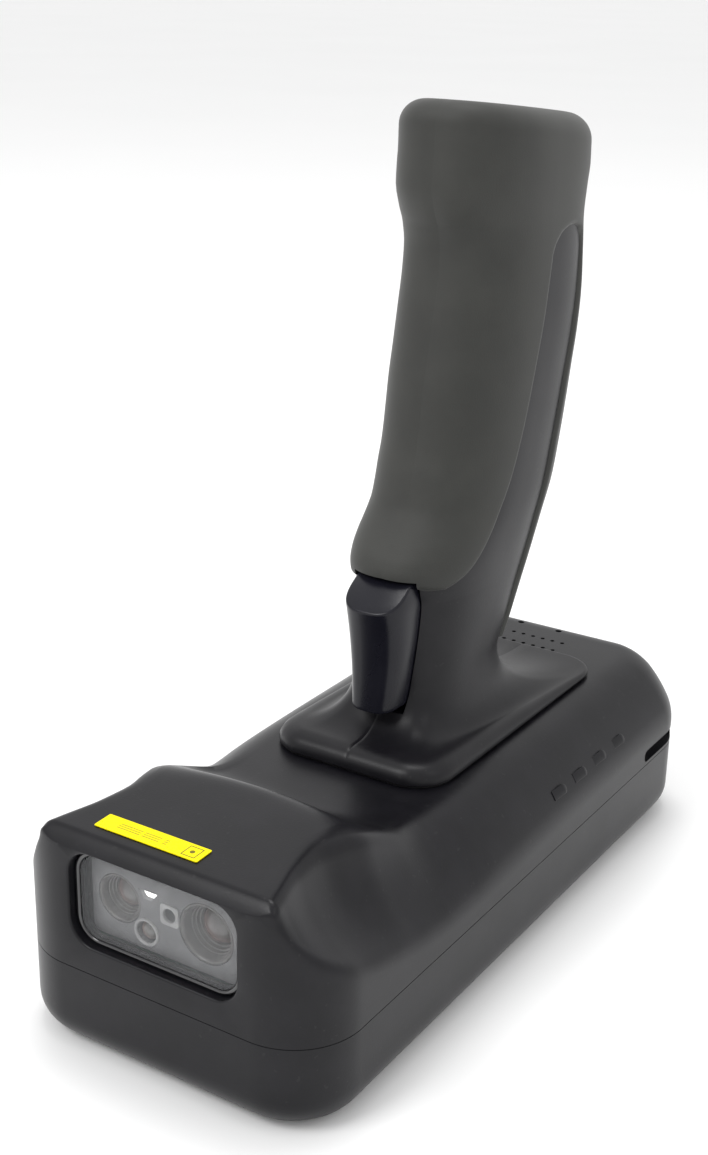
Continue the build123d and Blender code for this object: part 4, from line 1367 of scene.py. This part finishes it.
lens = lensGlass("lensGlass", (0.045, 0.035, 0.032))

print("pieces: housings")
makeBackHousing(plastic)
makeLowerHousing(plastic)

print("pieces: grip")
for side in (1, -1):
    makeShell(side, handlePlastic)
    makeSkin(side, rubber)
makeTrigger(triggerPlastic)

print("pieces: window and engine")
makeWindow(framePlastic, glass)
makeEngine(enginePale, engineBright, engineDark, lens, lampWhite("lampWhite"))
low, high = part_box("warning_label")
spec = dict(x=(low.x + high.x) / 2 / mm, y=(low.y + high.y) / 2 / mm, width=(high.x - low.x) / mm,
            depth=(high.y - low.y) / mm, signX=8.9)
softCopy("warning_label", labelFilm("labelFilm", spec))
makeSeal(gasketRubber)
softCopy("plinth_gasket", gasketRubber)

print("pieces: face and tail")
screen = darkScreen("screenGlass")
softCopy("touch_glass", screen, bevel=0.25)
dress("display_panel", screen)
softCopy("scan_key", keyRubber, rides="scan_key", bevel=0.35)
softCopy("menu_key", keyRubber, rides="menu_key", bevel=0.3)
softCopy("power_key", keyRubber, rides="power_key", bevel=0.3)
softCopy("charge_socket", engineDark, bevel=0.1)
makeScrews("caseScrews", screwShape((0, 0, -1)), caseSpots, steel, "case_screws")
makeScrews("handleScrews", screwShape((-1, 0, 0)), handleSpots, steel, "handle_screws")
makeScrews("plinthScrews", screwShape((0, 0, -1), plinthScrews["shank"]), plinthSpots, steel, "plinth_screws")
makePips(plastic)

print("pieces: insides")
board = circuitBoard("circuitBoard")
component = engineGrey("component", dict(dark=(0.02, 0.02, 0.021), light=(0.04, 0.04, 0.042), roughness=0.5))
for name in ("main_board", "engine_board"):
    dress(name, board)
for name in ("shield_cans", "engine_screws", "board_screws", "trigger_pin", "trigger_spring"):
    dress(name, steel)
for name in ("board_connectors", "key_switches", "speaker", "trigger_switch"):
    dress(name, component)
dress("battery_pack", batteryWrap("batteryWrap"))
dress("engine_ribbon", polyimide("polyimide"))
dress("trigger_lead", plainRubber("leadCover", (0.10, 0.012, 0.010)))


def paleFloor():
    b = Builder()
    reach = 20000
    b.cap(b.loop([(-reach, -reach, 0), (reach, -reach, 0), (reach, reach, 0), (-reach, reach, 0)]))
    floor = b.mesh("floor", recalculate=False)
    made, tree, shader = newMaterial("paleFloor")
    cloud = noise(tree, 3.0, 2.0, 0.5)
    plug(tree, shader, colour=blendColour(tree, cloud, (0.92, 0.92, 0.92), (0.95, 0.95, 0.95)),
         roughness=0.55 + cloud * 0.05, specular=0.3)
    floor.data.materials.append(made)


paleFloor()
world = bpy.data.worlds.new("room")
bpy.context.scene.world = world
world.use_nodes = True
world.node_tree.nodes["Background"].inputs[0].default_value = (1, 1, 1, 1)
world.node_tree.nodes["Background"].inputs[1].default_value = 0.95


def softLight(name, place, aim, size, power, colour=(1, 1, 1)):
    data = bpy.data.lights.new(name, "AREA")
    data.shape = "RECTANGLE"
    data.size, data.size_y = size
    data.energy = power
    data.color = colour
    thing = bpy.data.objects.new(name, data)
    bpy.context.scene.collection.objects.link(thing)
    thing.location = place
    thing.rotation_euler = (Vector(aim) - Vector(place)).to_track_quat("-Z", "Y").to_euler()
    return thing


softLight("keyLight", (-0.35, -0.75, 0.95), (0, 0, 0.05), (0.45, 0.45), 5)
softLight("sideLight", (0.85, -0.05, 0.95), (0, 0, 0.05), (0.3, 0.6), 0.7)
softLight("topLight", (-0.1, 0.15, 1.2), (0, 0, 0.05), (0.4, 0.4), 4)

view = dict(azimuth=0.567, elevation=0.359, roll=0.019, place=(162.5, -271.5, 191.8), lens=52.0)
data = bpy.data.cameras.new("camera")
data.lens = view["lens"]
data.sensor_width = 36
data.clip_start = 0.01
data.clip_end = 100
camera = bpy.data.objects.new("camera", data)
bpy.context.scene.collection.objects.link(camera)
az, el = view["azimuth"], view["elevation"]
back = Vector((math.sin(az) * math.cos(el), -math.cos(az) * math.cos(el), math.sin(el)))
right = (-back).cross(Vector((0, 0, 1))).normalized()
up = right.cross(-back)
rolled = right * math.cos(view["roll"]) + up * math.sin(view["roll"])
risen = up * math.cos(view["roll"]) - right * math.sin(view["roll"])
turn = Matrix((rolled, risen, back)).transposed()
camera.matrix_world = Matrix.Translation(Vector(view["place"]) * mm) @ turn.to_4x4()
bpy.context.scene.camera = camera

bpy.context.scene.view_settings.view_transform = "Standard"
